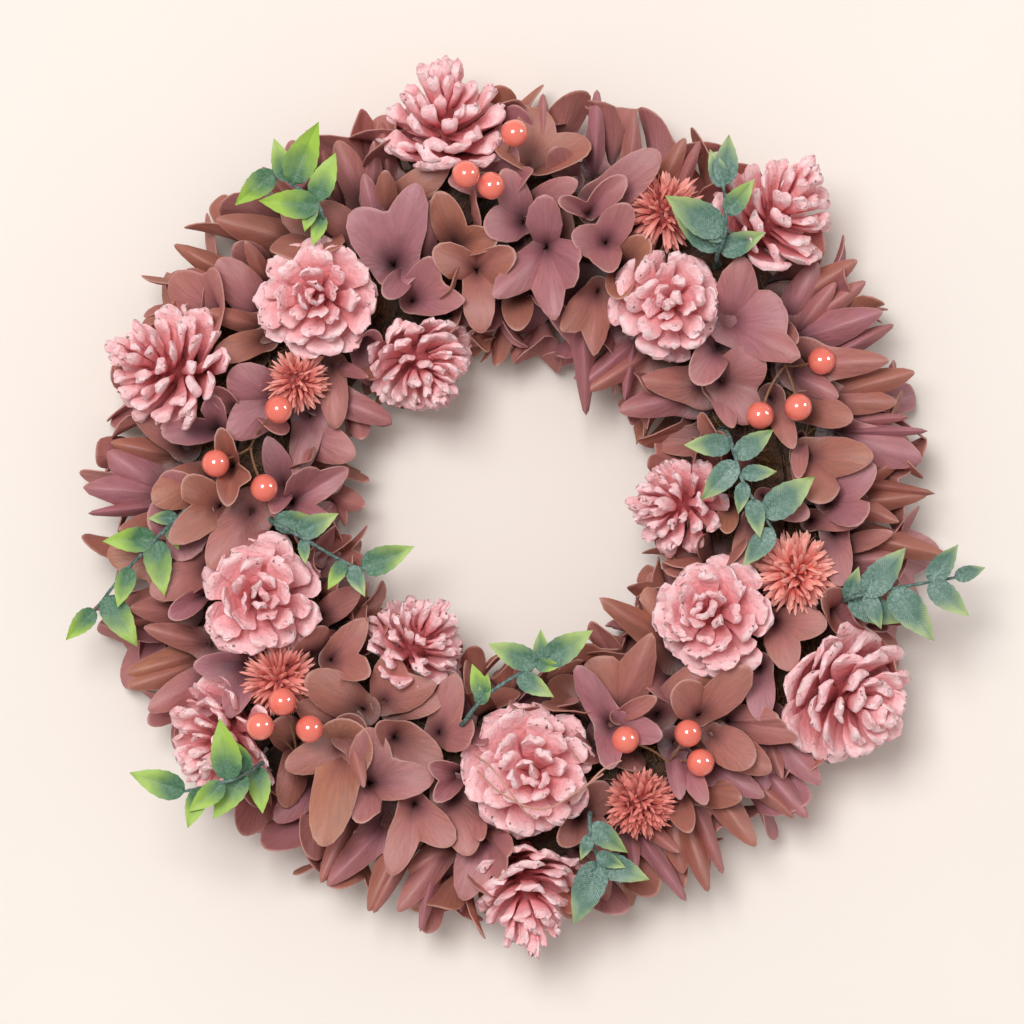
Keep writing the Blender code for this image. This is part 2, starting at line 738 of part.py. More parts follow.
def petal_blades(point, outward, axis, spin, length, spread, width, thick):
    """One bloom: blades round its axis that open by the spread, wide at two thirds and blunt at the end."""
    matrix = frame_of(axis, point - outward * PETAL_ROOT_DEPTH, spin)
    blades = []
    for petal in range(PETALS):
        turn = petal * math.tau / PETALS
        side = Vector((math.cos(turn), math.sin(turn), 0))
        across = Vector((-math.sin(turn), math.cos(turn), 0))
        bm = bmesh.new()
        bmesh.ops.create_grid(bm, x_segments=1, y_segments=2, size=0.5)
        for vertex in bm.verts:
            share, wide, bend = PETAL_OUTLINE[round(2 * vertex.co.y) + 1]
            open_by = spread * bend
            along = side * math.sin(open_by) + Vector((0, 0, math.cos(open_by)))
            out = across * (vertex.co.x * wide * width)
            vertex.co = side * PETAL_ROOT_RADIUS + along * (share * length) + out
        bmesh.ops.remove_doubles(bm, verts=bm.verts, dist=MERGE)
        bmesh.ops.solidify(bm, geom=bm.faces[:], thickness=thick)
        bmesh.ops.recalc_face_normals(bm, faces=bm.faces)
        bm.transform(matrix)
        blades.append(bm)
    return blades


def near_ornament(point):
    """True if a bloom rooted there would stand under a cone or a dried flower."""
    for clock, radius, lean_out, _, diameter, length in CONES:
        foot, _ = on_bed(clock, radius - RING_RADIUS / MM)
        middle = foot + direction(clock, lean_out) * length * ORNAMENT_MIDDLE * MM
        if (middle - point).length < diameter * ORNAMENT_SHADE * MM:
            return True
    for clock, radius, _, diameter in FLOWERS:
        foot, _ = on_bed(clock, radius - RING_RADIUS / MM)
        if (foot - point).length < diameter * ORNAMENT_SHADE * MM:
            return True
    return False


def bloom_tries(lean, draw):
    """The tries for one bloom, most wanted first: (lean out, lean round, spin, size)."""
    for attempt in range(PETAL_TRIES):
        loose = attempt / PETAL_TRIES
        freedom = 1 + BLOOM_LOOSER * loose
        yield (
            lean + draw.uniform(-BLOOM_LEAN_DEG, BLOOM_LEAN_DEG) * freedom,
            draw.uniform(-BLOOM_ROUND_DEG, BLOOM_ROUND_DEG) * freedom,
            draw.uniform(0, math.tau),
            BLOOM_SIZE - BLOOM_SHRINK * loose + draw.uniform(-BLOOM_SIZE_SPREAD, BLOOM_SIZE_SPREAD),
        )


def build_beds(collection):
    """The beds of the bunches, by (side, number): side 1 is the outer half of the ring, and -1 the inner."""
    beds = {}
    for side, word in ((1, "outer"), (-1, "inner")):
        for number in range(BUNCHES):
            name = f"petal_bunch_{word}_{number + 1:02d}"
            beds[side, number] = bed_piece(name, side, number, collection)
    return beds


def build_petals(beds, trees, collection):
    """The blooms, row by row, wherever there is room, each bunch's blooms and its bed fused in one node."""
    names = {key: bed.name for key, bed in beds.items()}
    bunches = {key: [bed] for key, bed in beds.items()}
    bed_trees = {key: tree_of([mesh_shape(bed)]) for key, bed in beds.items()}
    grown = []
    for row_number, (out, lean_out, spacing, length, width, spread) in enumerate(PETAL_ROWS.values()):
        draw = random.Random(PETAL_SEED + row_number)
        last_root = None
        for step in range(int(360 / CLOCK_STEP)):
            clock = (step + draw.uniform(0, 1)) * CLOCK_STEP
            point, outward = on_bed(clock, out)
            crowded = any((point - root).length < spacing * ROW_SPACING * MM for root, _ in grown)
            if last_root and (point - last_root).length < spacing * MM:
                crowded = True
            if crowded or near_ornament(point):
                continue
            key = (1 if out >= 0 else -1), int(clock // (360 / BUNCHES))
            others = trees + [tree for other, tree in bed_trees.items() if other != key]
            others += [tree for root, tree in grown if (point - root).length < BLOOM_REACH]
            for lean, lean_round, spin, size in bloom_tries(lean_out, draw):
                axis = direction(clock, lean, lean_round)
                bloom = point, outward, axis, spin, length * size * MM, math.radians(spread)
                wide = petal_blades(*bloom, width * size * MM + 2 * GAP, PETAL_THICK + 2 * GAP)
                shapes = [bmesh_shape(bm) for bm in wide]
                blocked = any(in_the_way(shape, others) for shape in shapes)
                for bm in wide:
                    bm.free()
                if not blocked:
                    last_root = point
                    grown.append((point, tree_of(shapes)))
                    for bm in petal_blades(*bloom, width * size * MM, PETAL_THICK):
                        bunches[key].append(object_from(bm, "petal", collection))
                    break
    for key, shapes in bunches.items():
        fuse(names[key], shapes, "petal", collection)


def build_wreath():
    clear_scene()
    wreath = new_collection("christmas_wreath")
    cutters = new_collection("cutters")
    ring = build_ring(wreath)
    pin = build_pin(wreath, cutters, ring)
    beds = build_beds(wreath)
    ground = [tree_of([mesh_shape(bed)]) for bed in beds.values()]
    ring_tree = tree_of([evaluated_shape(ring)])
    standing = [pin]
    for number, row in enumerate(CONES, 1):
        standing.append(build_cone(f"pine_cone_{number:02d}", row, ground, wreath))
    for number, row in enumerate(FLOWERS, 1):
        standing.append(build_flower(f"dried_flower_{number:02d}", row, number, ground, wreath))
    for number, row in enumerate(BERRIES, 1):
        standing.append(build_berries(f"berry_pick_{number:02d}", row, wreath))
    trees = [tree_of([mesh_shape(obj)]) for obj in standing] + [ring_tree]
    for number, row in enumerate(SPRIGS, 1):
        sprig = build_sprig(f"leaf_sprig_{number:02d}", row, trees + ground, wreath)
        trees.append(tree_of([mesh_shape(sprig)]))
    build_petals(beds, trees, wreath)


build_wreath()
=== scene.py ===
"""A christmas wreath for a wall, dressed over its CAD frame with straw, petals, cones, flowers and sprigs.

Metres, +Z up, the front faces -Y and the wall is the plane y = 0. Clock angles are in degrees and run
counter-clockwise from +X as seen from the front. Depth is the distance in front of the wall.
"""

import math

import bpy
import numpy as np
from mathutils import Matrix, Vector


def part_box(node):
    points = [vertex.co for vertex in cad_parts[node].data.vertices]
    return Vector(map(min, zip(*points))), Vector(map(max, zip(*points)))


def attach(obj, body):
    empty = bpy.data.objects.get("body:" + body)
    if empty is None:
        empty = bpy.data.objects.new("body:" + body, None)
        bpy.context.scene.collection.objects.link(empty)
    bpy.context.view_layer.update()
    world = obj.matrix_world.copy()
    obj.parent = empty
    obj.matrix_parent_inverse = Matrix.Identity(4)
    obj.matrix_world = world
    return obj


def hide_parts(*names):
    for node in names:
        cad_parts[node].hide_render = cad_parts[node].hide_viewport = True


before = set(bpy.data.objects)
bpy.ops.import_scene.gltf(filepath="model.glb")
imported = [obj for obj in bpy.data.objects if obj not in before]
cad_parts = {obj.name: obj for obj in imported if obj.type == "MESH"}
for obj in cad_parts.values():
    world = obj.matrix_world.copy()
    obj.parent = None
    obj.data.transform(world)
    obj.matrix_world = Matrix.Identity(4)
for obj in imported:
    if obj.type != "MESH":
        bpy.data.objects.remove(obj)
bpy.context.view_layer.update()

# Ring. A bundle of straw bent to a circle, with a flat back and a domed front, bound with brown twine.
# Nothing of it shows from the front but fibres between the petals.

MM = 0.001
GOLDEN_ANGLE = math.radians(137.508)
CENTRE = np.array((0.0, 0.0, -0.150))
FRONT = np.array((0.0, -1.0, 0.0))
RING_RADIUS = 113 * MM
RING_SECTION = ((20, 0.6), (27, 4), (28, 8), (26, 16), (19, 23), (9, 26.5), (0, 27.2))
STRAW_STRANDS = 900
# How far round the ring a strand runs, its radius in mm, and the least distance of its middle from the wall
STRAW_SPAN_DEG = (14, 46)
STRAW_RADIUS = (0.35, 0.8)
STRAW_OFF_WALL = 0.8 * MM
BODY_OFF_WALL = 1 * MM
TWINE_TURNS = 46
TWINE_RADIUS = 0.6 * MM
TWINE_OFF_WALL = 0.9 * MM


def unit(vectors):
    """Each vector divided by its length."""
    return vectors / np.maximum(np.linalg.norm(vectors, axis=-1, keepdims=True), 1e-12)


def place(clock, radius, depth):
    """Centre + radius x (cos, 0, sin of the clock angle) - depth along +Y, for arrays or numbers."""
    turn = np.radians(clock)
    parts = np.broadcast_arrays(radius * np.cos(turn), -np.asarray(depth), radius * np.sin(turn))
    return CENTRE + np.stack(parts, axis=-1)


def crumple(points, size, depth):
    """Each point moved by a sum of sines of its own place: waves of that size, up to about that depth."""
    draw = np.random.default_rng(5)
    moved = np.zeros_like(points)
    for octave in (1.0, 2.1, 4.3):
        ways = draw.normal(size=(3, 3)) * octave / size
        starts = draw.uniform(0, math.tau, 3)
        pushes = draw.normal(size=(3, 3)) * depth / octave**0.8 / 2
        moved += np.sin(points @ ways.T + starts) @ pushes
    return points + moved


def skin(points, joined=False, **values):
    """Closed skins from points (items, sections, corners, 3): next sections are joined and the ends are faced.

    Where joined, the last section meets the first one and there are no ends. Values are numbers for each
    point, given in any shape that fits (items, sections, corners), and for the grain in threes.
    """
    items, sections, corners, _ = points.shape
    index = np.arange(items * sections * corners).reshape(items, sections, corners)
    ends = np.stack((index[:, 0, ::-1], index[:, -1]), axis=1)
    if joined:
        ends = ends[:, :0]
        index = np.concatenate((index, index[:, :1]), axis=1)
    after = np.roll(index, -1, axis=2)
    sides = np.stack((index[:, :-1], after[:, :-1], after[:, 1:], index[:, 1:]), axis=-1).reshape(items, -1, 4)
    flat = points.reshape(-1, 3)
    a, b, c, d = (flat[sides[..., k]] - points[:, :1, 0] for k in range(4))
    volume = np.einsum("nmi,nmi->n", a, np.cross(b, c) + np.cross(c, d))
    inside_out = volume < 0
    sides[inside_out] = sides[inside_out][..., ::-1]
    ends[inside_out] = ends[inside_out][..., ::-1]
    spread = {}
    for name, value in values.items():
        shape = points.shape if name == "grain" else points.shape[:3]
        spread[name] = np.broadcast_to(value, shape).reshape(len(flat), -1)
    return {"points": flat, "sides": sides.reshape(-1, 4), "ends": ends.reshape(-1, corners), "values": spread}


def rails(path):
    """(along, across, up) unit vectors at each point of paths (..., points, 3), turned as little as can be."""
    along = unit(np.gradient(path, axis=-2))
    up = np.broadcast_to(unit(np.cross(along[..., :1, :], np.array((0.31, 0.52, 0.79)))), along.shape)
    across = unit(np.cross(up, along))
    return along, across, np.cross(along, across)


def tube(path, radius, corners=6, **values):
    """Round wires along paths (items, points, 3): path + radius x (cos, sin round the path)."""
    _, across, up = rails(path)
    turn = np.arange(corners) * math.tau / corners
    ring = across[:, :, None] * np.cos(turn)[:, None] + up[:, :, None] * np.sin(turn)[:, None]
    radius = np.broadcast_to(np.asarray(radius, dtype=float), path.shape[:2])[..., None, None]
    return skin(path[:, :, None] + ring * radius, **values)


def piece(name, skins, materials, nodes):
    """One mesh of several (skin, material number), riding on the frame in place of the nodes."""
    counts = np.cumsum([0] + [len(made["points"]) for made, _ in skins])
    points = np.concatenate([made["points"] for made, _ in skins])
    loops, starts, finishes, total = [], [], [], 0
    for first, (made, number) in zip(counts, skins):
        for faces in (made["sides"], made["ends"]):
            loops.append(faces.ravel() + first)
            starts.append(total + np.arange(len(faces)) * faces.shape[1])
            finishes.append(np.full(len(faces), number))
            total += faces.size
    mesh = bpy.data.meshes.new(name)
    mesh.vertices.add(len(points))
    mesh.vertices.foreach_set("co", points.astype(np.float32).ravel())
    mesh.loops.add(total)
    mesh.loops.foreach_set("vertex_index", np.concatenate(loops).astype(np.int32))
    starts = np.concatenate(starts)
    mesh.polygons.add(len(starts))
    mesh.polygons.foreach_set("loop_start", starts.astype(np.int32))
    mesh.polygons.foreach_set("material_index", np.concatenate(finishes).astype(np.int32))
    mesh.update(calc_edges=True)
    for title in ("along", "across", "edge", "tone", "height", "grain"):
        wide = 3 if title == "grain" else 1
        rows = [made["values"].get(title, np.zeros((len(made["points"]), wide))) for made, _ in skins]
        values = np.concatenate([row.reshape(-1, wide) for row in rows]).astype(np.float32)
        attribute = mesh.attributes.new(title, "FLOAT_VECTOR" if wide == 3 else "FLOAT", "POINT")
        attribute.data.foreach_set("vector" if wide == 3 else "value", values.ravel())
    for material in materials:
        mesh.materials.append(material)
    mesh.shade_smooth()
    mesh.set_sharp_from_angle(angle=math.radians(50))
    obj = bpy.data.objects.new(name, mesh)
    bpy.context.scene.collection.objects.link(obj)
    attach(obj, "root")
    if nodes:
        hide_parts(*nodes)
    return obj


def colour(code):
    """A screen colour such as #c08070 as linear red, green, blue and 1."""
    parts = np.array([int(code[i : i + 2], 16) for i in (1, 3, 5)]) / 255
    linear = np.where(parts > 0.04045, ((parts + 0.055) / 1.055) ** 2.4, parts / 12.92)
    return (*linear.tolist(), 1.0)


def new_finish(name, roughness):
    """(material, its shader), with the roughness on the shader's own socket."""
    material = bpy.data.materials.new(name)
    material.use_nodes = True
    shader = material.node_tree.nodes["Principled BSDF"]
    shader.inputs["Roughness"].default_value = roughness
    return material, shader


def add_node(tree, kind, inputs, **settings):
    """A node of that kind, its inputs given by name or number as values or as other nodes' outputs."""
    made = tree.nodes.new(kind)
    for name, value in settings.items():
        setattr(made, name, value)
    for name, value in inputs.items():
        if isinstance(value, bpy.types.NodeSocket):
            tree.links.new(value, made.inputs[name])
        else:
            made.inputs[name].default_value = value
    return made


def reading(material, title, part="Fac"):
    """The output of a node that reads one of the piece's own attributes."""
    return add_node(material.node_tree, "ShaderNodeAttribute", {}, attribute_name=title).outputs[part]


def noise(material, scale, detail=3.0, vector=None, rough=0.5):
    """Noise of that scale on Object coordinates, or on the vector given."""
    if vector is None:
        vector = add_node(material.node_tree, "ShaderNodeTexCoord", {}).outputs["Object"]
    inputs = {"Vector": vector, "Scale": scale, "Detail": detail, "Roughness": rough}
    return add_node(material.node_tree, "ShaderNodeTexNoise", inputs).outputs["Fac"]


def math_node(operation, *values, clamp=False):
    """The result of one Math node, in the material of the values that are nodes' outputs."""
    tree = next(value.id_data for value in values if isinstance(value, bpy.types.NodeSocket))
    inputs = dict(enumerate(values))
    return add_node(tree, "ShaderNodeMath", inputs, operation=operation, use_clamp=clamp).outputs[0]


def times(first, second):
    """The product of two values."""
    return math_node("MULTIPLY", first, second)


def plus(first, second):
    """The sum of two values."""
    return math_node("ADD", first, second)


def fade(value, low, high):
    """0 where the value is at low, 1 where it is at high, and straight between."""
    inputs = {"Value": value, "From Min": low, "From Max": high}
    return add_node(value.id_data, "ShaderNodeMapRange", inputs).outputs["Result"]


def blend(share, first, second):
    """The first colour turned into the second by the share, each a code or a node's output."""
    first, second = (colour(each) if isinstance(each, str) else each for each in (first, second))
    return add_node(share.id_data, "ShaderNodeMix", {0: share, 6: first, 7: second}, data_type="RGBA").outputs[2]


def coats(base, *layers):
    """The base colour under layers of (share, colour), laid on in turn."""
    for share, code in layers:
        base = blend(share, base, code)
    return base


def paint(shader, base, height, strength, distance):
    """Sets the shader's base colour and its bump."""
    links = shader.id_data.links
    links.new(base, shader.inputs["Base Color"])
    inputs = {"Height": height, "Strength": strength, "Distance": distance}
    bump = add_node(shader.id_data, "ShaderNodeBump", inputs)
    links.new(bump.outputs["Normal"], shader.inputs["Normal"])


straw, shader = new_finish("straw", 0.85)
threads = noise(straw, 60, 4, reading(straw, "grain", "Vector"), 0.7)
straw_tone = blend(reading(straw, "tone"), "#5a3c22", "#c9a26a")
paint(shader, blend(fade(threads, 0.35, 0.7), "#3a2414", straw_tone), threads, 0.5, 0.0006)

twine, shader = new_finish("twine", 0.9)
strands = noise(twine, 900, 3)
paint(shader, blend(strands, "#4a2f1c", "#a07a4c"), strands, 0.6, 0.0005)

def walk(outline, share):
    """(first, second) coordinates at a share of the way round a closed outline, a row of corners."""
    closed = np.vstack((outline, outline[:1]))
    lengths = np.concatenate(([0], np.cumsum(np.linalg.norm(np.diff(closed, axis=0), axis=1))))
    where = share * lengths[-1]
    return np.interp(where, lengths, closed[:, 0]), np.interp(where, lengths, closed[:, 1])


half = np.array(RING_SECTION) * MM
ring_outline = np.concatenate((half, half[-2::-1] * (-1, 1)))


def ring_face(share, lift):
    """(out, depth) at a share of the way round the ring's section, lifted from it along the normal."""
    out, depth = walk(ring_outline, np.mod(share, 1))
    near_out, near_depth = walk(ring_outline, np.mod(share + 0.004, 1))
    way_out, way_depth = near_out - out, near_depth - depth
    size = np.hypot(way_out, way_depth)
    return out + way_depth / size * lift, np.maximum(depth - way_out / size * lift, 0.0004)


draw = np.random.default_rng(1)
body_turn = np.linspace(0, 360, 145)[:-1]
body_out, body_depth = ring_face((np.arange(48) + 0.5) / 48, -1.2 * MM)
body = place(body_turn[:, None], RING_RADIUS + body_out, np.maximum(body_depth, BODY_OFF_WALL))[None]
ring_skins = [(skin(body, joined=True, tone=0.1, grain=body), 0)]
strand_start = draw.uniform(0, 360, STRAW_STRANDS)
strand_span = draw.uniform(*STRAW_SPAN_DEG, STRAW_STRANDS)
strand_clock = strand_start[:, None] + strand_span[:, None] * np.linspace(0, 1, 9)
strand_share = draw.uniform(0, 1, STRAW_STRANDS)[:, None]
strand_share = strand_share + draw.normal(0, 0.012, (STRAW_STRANDS, 9)).cumsum(axis=1) * 0.5
strand_out, strand_depth = ring_face(strand_share, draw.uniform(-1.0, 0.1, (STRAW_STRANDS, 1)) * MM)
strand_path = place(strand_clock, RING_RADIUS + strand_out, np.maximum(strand_depth, STRAW_OFF_WALL))
strand_taper = np.array((0.3, 1, 1, 1, 1, 1, 1, 1, 0.3))
strand_radius = draw.uniform(*STRAW_RADIUS, (STRAW_STRANDS, 1)) * MM * strand_taper
strand_tone = draw.uniform(0, 1, (STRAW_STRANDS, 1, 1))
strand_grain = np.stack((strand_share * 9, strand_clock / 90, strand_share * 0 + strand_start[:, None]), axis=-1)
ring_skins.append((tube(strand_path, strand_radius, 4, tone=strand_tone, grain=strand_grain[:, :, None]), 0))
twine_turn = np.arange(TWINE_TURNS * 26) / (TWINE_TURNS * 26)
twine_out, twine_depth = ring_face(twine_turn * TWINE_TURNS, 0.15 * MM)
twine_path = place(twine_turn * 360, RING_RADIUS + twine_out, np.maximum(twine_depth, TWINE_OFF_WALL))
_, twine_across, twine_up = rails(np.vstack((twine_path[-1:], twine_path, twine_path[:1])))
twine_across, twine_up = twine_across[1:-1, None], twine_up[1:-1, None]
twine_round = (np.arange(6) * math.tau / 6)[:, None]
twine_ring = twine_across * np.cos(twine_round) + twine_up * np.sin(twine_round)
ring_skins.append((skin((twine_path[:, None] + twine_ring * TWINE_RADIUS)[None], joined=True), 1))
piece("straw_ring", ring_skins, [straw, twine], ["ring_base"])

# Hanging pin. A bare steel wire with an eye over two legs that are pushed into the top of the straw. It keeps
# its CAD shape and gets the drawn wire's fine lengthwise scratches.

wire, shader = new_finish("bare_wire", 0.34)
shader.inputs["Metallic"].default_value = 1.0
scratches = noise(wire, 1400, 4)
paint(shader, blend(scratches, "#8c8a86", "#cfccc6"), scratches, 0.15, 0.0002)
for pin_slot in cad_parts["hanging_pin"].material_slots:
    pin_slot.material = wire

# Pine cones. Real cones with their woody scales open, brushed with pink paint that is coral low on the scales
# and nearly white on the rims, with bare brown specks; painted shade darkens the scales towards their roots and
# the core, deep in the cone. Each is glued to the bed by its base.

BED_SECTION = ((0.5, 26.5), (9, 26.5), (19, 23), (26, 16), (27.5, 10))
BED_FOOT = 0.4 * MM
BED_THICK = 4 * MM
# Clock angle, radius at the base, lean out and lean round, diameter and length in mm; then the look of the
# scales: how many, their width, cup, twist in degrees, how far they bend up, and their thickness in mm
CONES = (
    (100.5, 137, 60, -8, 54, 50, 56, 0.90, 0.25, 32, 0.20, 4.2),
    (132.5, 113, 2, 0, 51, 40, 38, 1.14, 0.30, 10, 0.10, 2.6),
    (157, 131, 52, 4, 55, 48, 60, 0.74, 0.15, 34, 0.10, 3.6),
    (121, 85, -48, 0, 45, 40, 52, 0.98, 0.20, 18, 0.15, 3.0),
    (200, 107, -2, 0, 53, 40, 33, 1.24, 0.45, 16, 0.30, 2.6),
    (236, 85, -50, 0, 44, 40, 58, 0.72, 0.30, 30, 0.20, 2.8),
    (219.5, 134, 52, 0, 50, 44, 46, 1.00, 0.40, 18, 0.20, 2.8),
    (275, 107, 0, 0, 58, 42, 37, 1.16, 0.35, 10, 0.15, 2.6),
    (273, 135, 64, 0, 48, 48, 56, 1.04, 0.30, 10, 0.10, 3.0),
    (332, 99, -14, 0, 50, 40, 36, 1.20, 0.35, 10, 0.15, 2.8),
    (331, 140, 44, 0, 60, 46, 44, 1.30, 0.35, 12, 0.30, 3.4),
    (0.5, 86, -50, 0, 41, 38, 48, 0.86, 0.30, 24, 0.20, 2.8),
    (52, 104, 0, 0, 47, 40, 32, 1.26, 0.30, 16, 0.15, 3.2),
    (47.5, 138, 56, 0, 54, 50, 46, 1.04, 0.30, 20, 0.10, 3.4),
)
CONE_SPIN = 7
CONE_FOOT = 7 * MM
CONE_CORE_SHARE = 0.72
CONE_AXIS_GAP = 0.8 * MM
CONE_REACH = (1, 0.05)
CONE_REACH_POWER = 2.1
CONE_SCALE_WIDTH = (0.28, 0.10)
CONE_ROOTS = (0.06, 0.56)
CONE_TIPS = (0.22, 0.98)
CONE_TIP_POWER = 1.1
# Up a scale: share of its length, of its width and of its thickness
SCALE_OUTLINE = (
    (0, 0.30, 0.7), (0.22, 0.42, 0.6), (0.44, 0.62, 0.55), (0.62, 0.84, 0.7), (0.76, 0.98, 0.92),
    (0.87, 1.0, 1.0), (0.95, 0.80, 0.85), (1, 0.36, 0.35),
)
SCALE_CORNERS = 14
SCALE_RUFFLE = 0.65 * MM
# What a pixel of the photograph is, and which one lies on the ring's middle
PIXEL = 0.405 * MM
MIDDLE_PIXEL = (508, 507)
# Loose straw wires that lie over a cone: its number, wire thickness, and pixel and height in mm of each bend
WISPS = (
    (8, 0.9, (478, 768, 66), (500, 788, 74), (530, 803, 75), (552, 802, 75), (578, 786, 71), (602, 771, 64)),
    (8, 0.8, (474, 752, 62), (492, 764, 73), (512, 790, 76), (528, 812, 72)),
    (8, 0.8, (570, 800, 66), (600, 768, 66), (620, 758, 62)),
)


def direction(clock, lean_out, lean_round=0.0):
    """The front's direction turned out by lean_out and round the ring by lean_round degrees, as unit vectors."""
    turn, out, around = np.radians(clock), np.radians(lean_out), np.radians(lean_round)
    zero = np.zeros_like(turn + out)
    radial = np.stack((np.cos(turn) + zero, zero, np.sin(turn) + zero), axis=-1)
    tangent = np.stack((-np.sin(turn) + zero, zero, np.cos(turn) + zero), axis=-1)
    level = FRONT * np.cos(out)[..., None] + radial * np.sin(out)[..., None]
    return unit(level * np.cos(around)[..., None] + tangent * np.sin(around)[..., None])


def offset_section(section, by):
    """An open section with each corner moved out along its two sides' mean normal."""
    points = np.array(section) * MM
    along = unit(np.diff(points, axis=0))
    normals = np.stack((-along[:, 1], along[:, 0]), axis=-1)
    before, behind = np.vstack((normals[:1], normals)), np.vstack((normals, normals[-1:]))
    mean = unit(before + behind)
    return points + mean * by / np.sum(mean * before, axis=1, keepdims=True)


bed_face = offset_section(BED_SECTION, BED_FOOT + BED_THICK)


def on_bed(clock, out_mm):
    """(point, outward direction) on the bed's face, that far out from the ring's middle radius."""
    side = 1 if out_mm >= 0 else -1
    step = int(np.searchsorted(bed_face[1:-1, 0], abs(out_mm) * MM))
    a, b = bed_face[step], bed_face[step + 1]
    share = min(max((abs(out_mm) * MM - a[0]) / (b[0] - a[0]), 0), 1)
    here = a + (b - a) * share
    lean = math.degrees(math.atan2(-(b - a)[1], (b - a)[0]))
    return place(clock, RING_RADIUS + side * here[0], here[1]), direction(clock, side * lean)


def standing(axis, spin):
    """A 3 x 3 matrix that turns +Z to the axis, after a turn by spin about it."""
    turn = np.array(Vector(axis).to_track_quat("Z", "Y").to_matrix())
    c, s = math.cos(spin), math.sin(spin)
    return turn @ np.array(((c, -s, 0), (s, c, 0), (0, 0, 1)))


def between(ends, share):
    """The first end turned into the second by the share."""
    return ends[0] + (ends[1] - ends[0]) * share


def smooth_path(points, count):
    """count points on a curve through the given points, each span a cubic of its four nearest."""
    ends = np.vstack((points[:1] * 2 - points[1:2], points, points[-1:] * 2 - points[-2:-1]))
    spans = len(points) - 1
    where = np.arange(count) * spans / (count - 1)
    span = np.minimum(where.astype(int), spans - 1)
    t = (where - span)[:, None]
    a, b, c, d = (ends[span + k] for k in range(4))
    bend = (2 * a - 5 * b + 4 * c - d) * t**2 + (3 * b - a - 3 * c + d) * t**3
    return (2 * b + (c - a) * t + bend) / 2


def node_middle(name):
    """The middle of a CAD node's box."""
    low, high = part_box(name)
    return (np.array(low) + np.array(high)) / 2


def lathe(radius, height, corners):
    """Points (1, rings, corners, 3) of an outline of radii and heights that is turned about +Z."""
    turn = np.arange(corners) * math.tau / corners
    radius, height = radius[:, None], height[:, None]
    points = np.stack((radius * np.cos(turn), radius * np.sin(turn), height + 0 * turn), axis=-1)
    return points[None]


def from_pixel(x, y, depth_mm=0.0):
    """The point that a pixel of the photograph shows, from the wreath's centre, at a depth before the wall."""
    return np.array(((x - MIDDLE_PIXEL[0]) * PIXEL, -depth_mm * MM, (MIDDLE_PIXEL[1] - y) * PIXEL))


cone_paint, shader = new_finish("cone_paint", 0.62)
up_scale, rim = reading(cone_paint, "along"), reading(cone_paint, "edge")
dabs = noise(cone_paint, 240, 4, rough=0.6)
pits = noise(cone_paint, 420, 4)
patches = noise(cone_paint, 90, 2)
pale = math_node("MULTIPLY", rim, fade(dabs, 0.42, 0.56), clamp=True)
# Coral low on each scale turning pale pink at its end: partly paint, partly painted shade deep in the cone.
pink = coats(
    blend(fade(up_scale, 0.4, 0.85), "#f08a8e", "#ffc6c9"),
    (times(fade(patches, 0.35, 0.65), 0.35), "#fbaab0"),
    (times(pale, 0.85), "#ffe0e2"),
    # Painted shade: dark red towards the scales' roots and over the core, deep in the cone.
    (fade(up_scale, 0.45, 0.1), "#a04446"),
    (times(fade(pits, 0.63, 0.70), fade(rim, 0.1, 0.5)), "#8c6060"),
)
paint(shader, pink, plus(dabs, times(pits, 0.6)), 0.75, 0.0014)
loose_straw, shader = new_finish("loose_straw", 0.6)
husk = noise(loose_straw, 500, 2)
paint(shader, blend(husk, "#b87c68", "#dda694"), husk, 0.4, 0.0005)


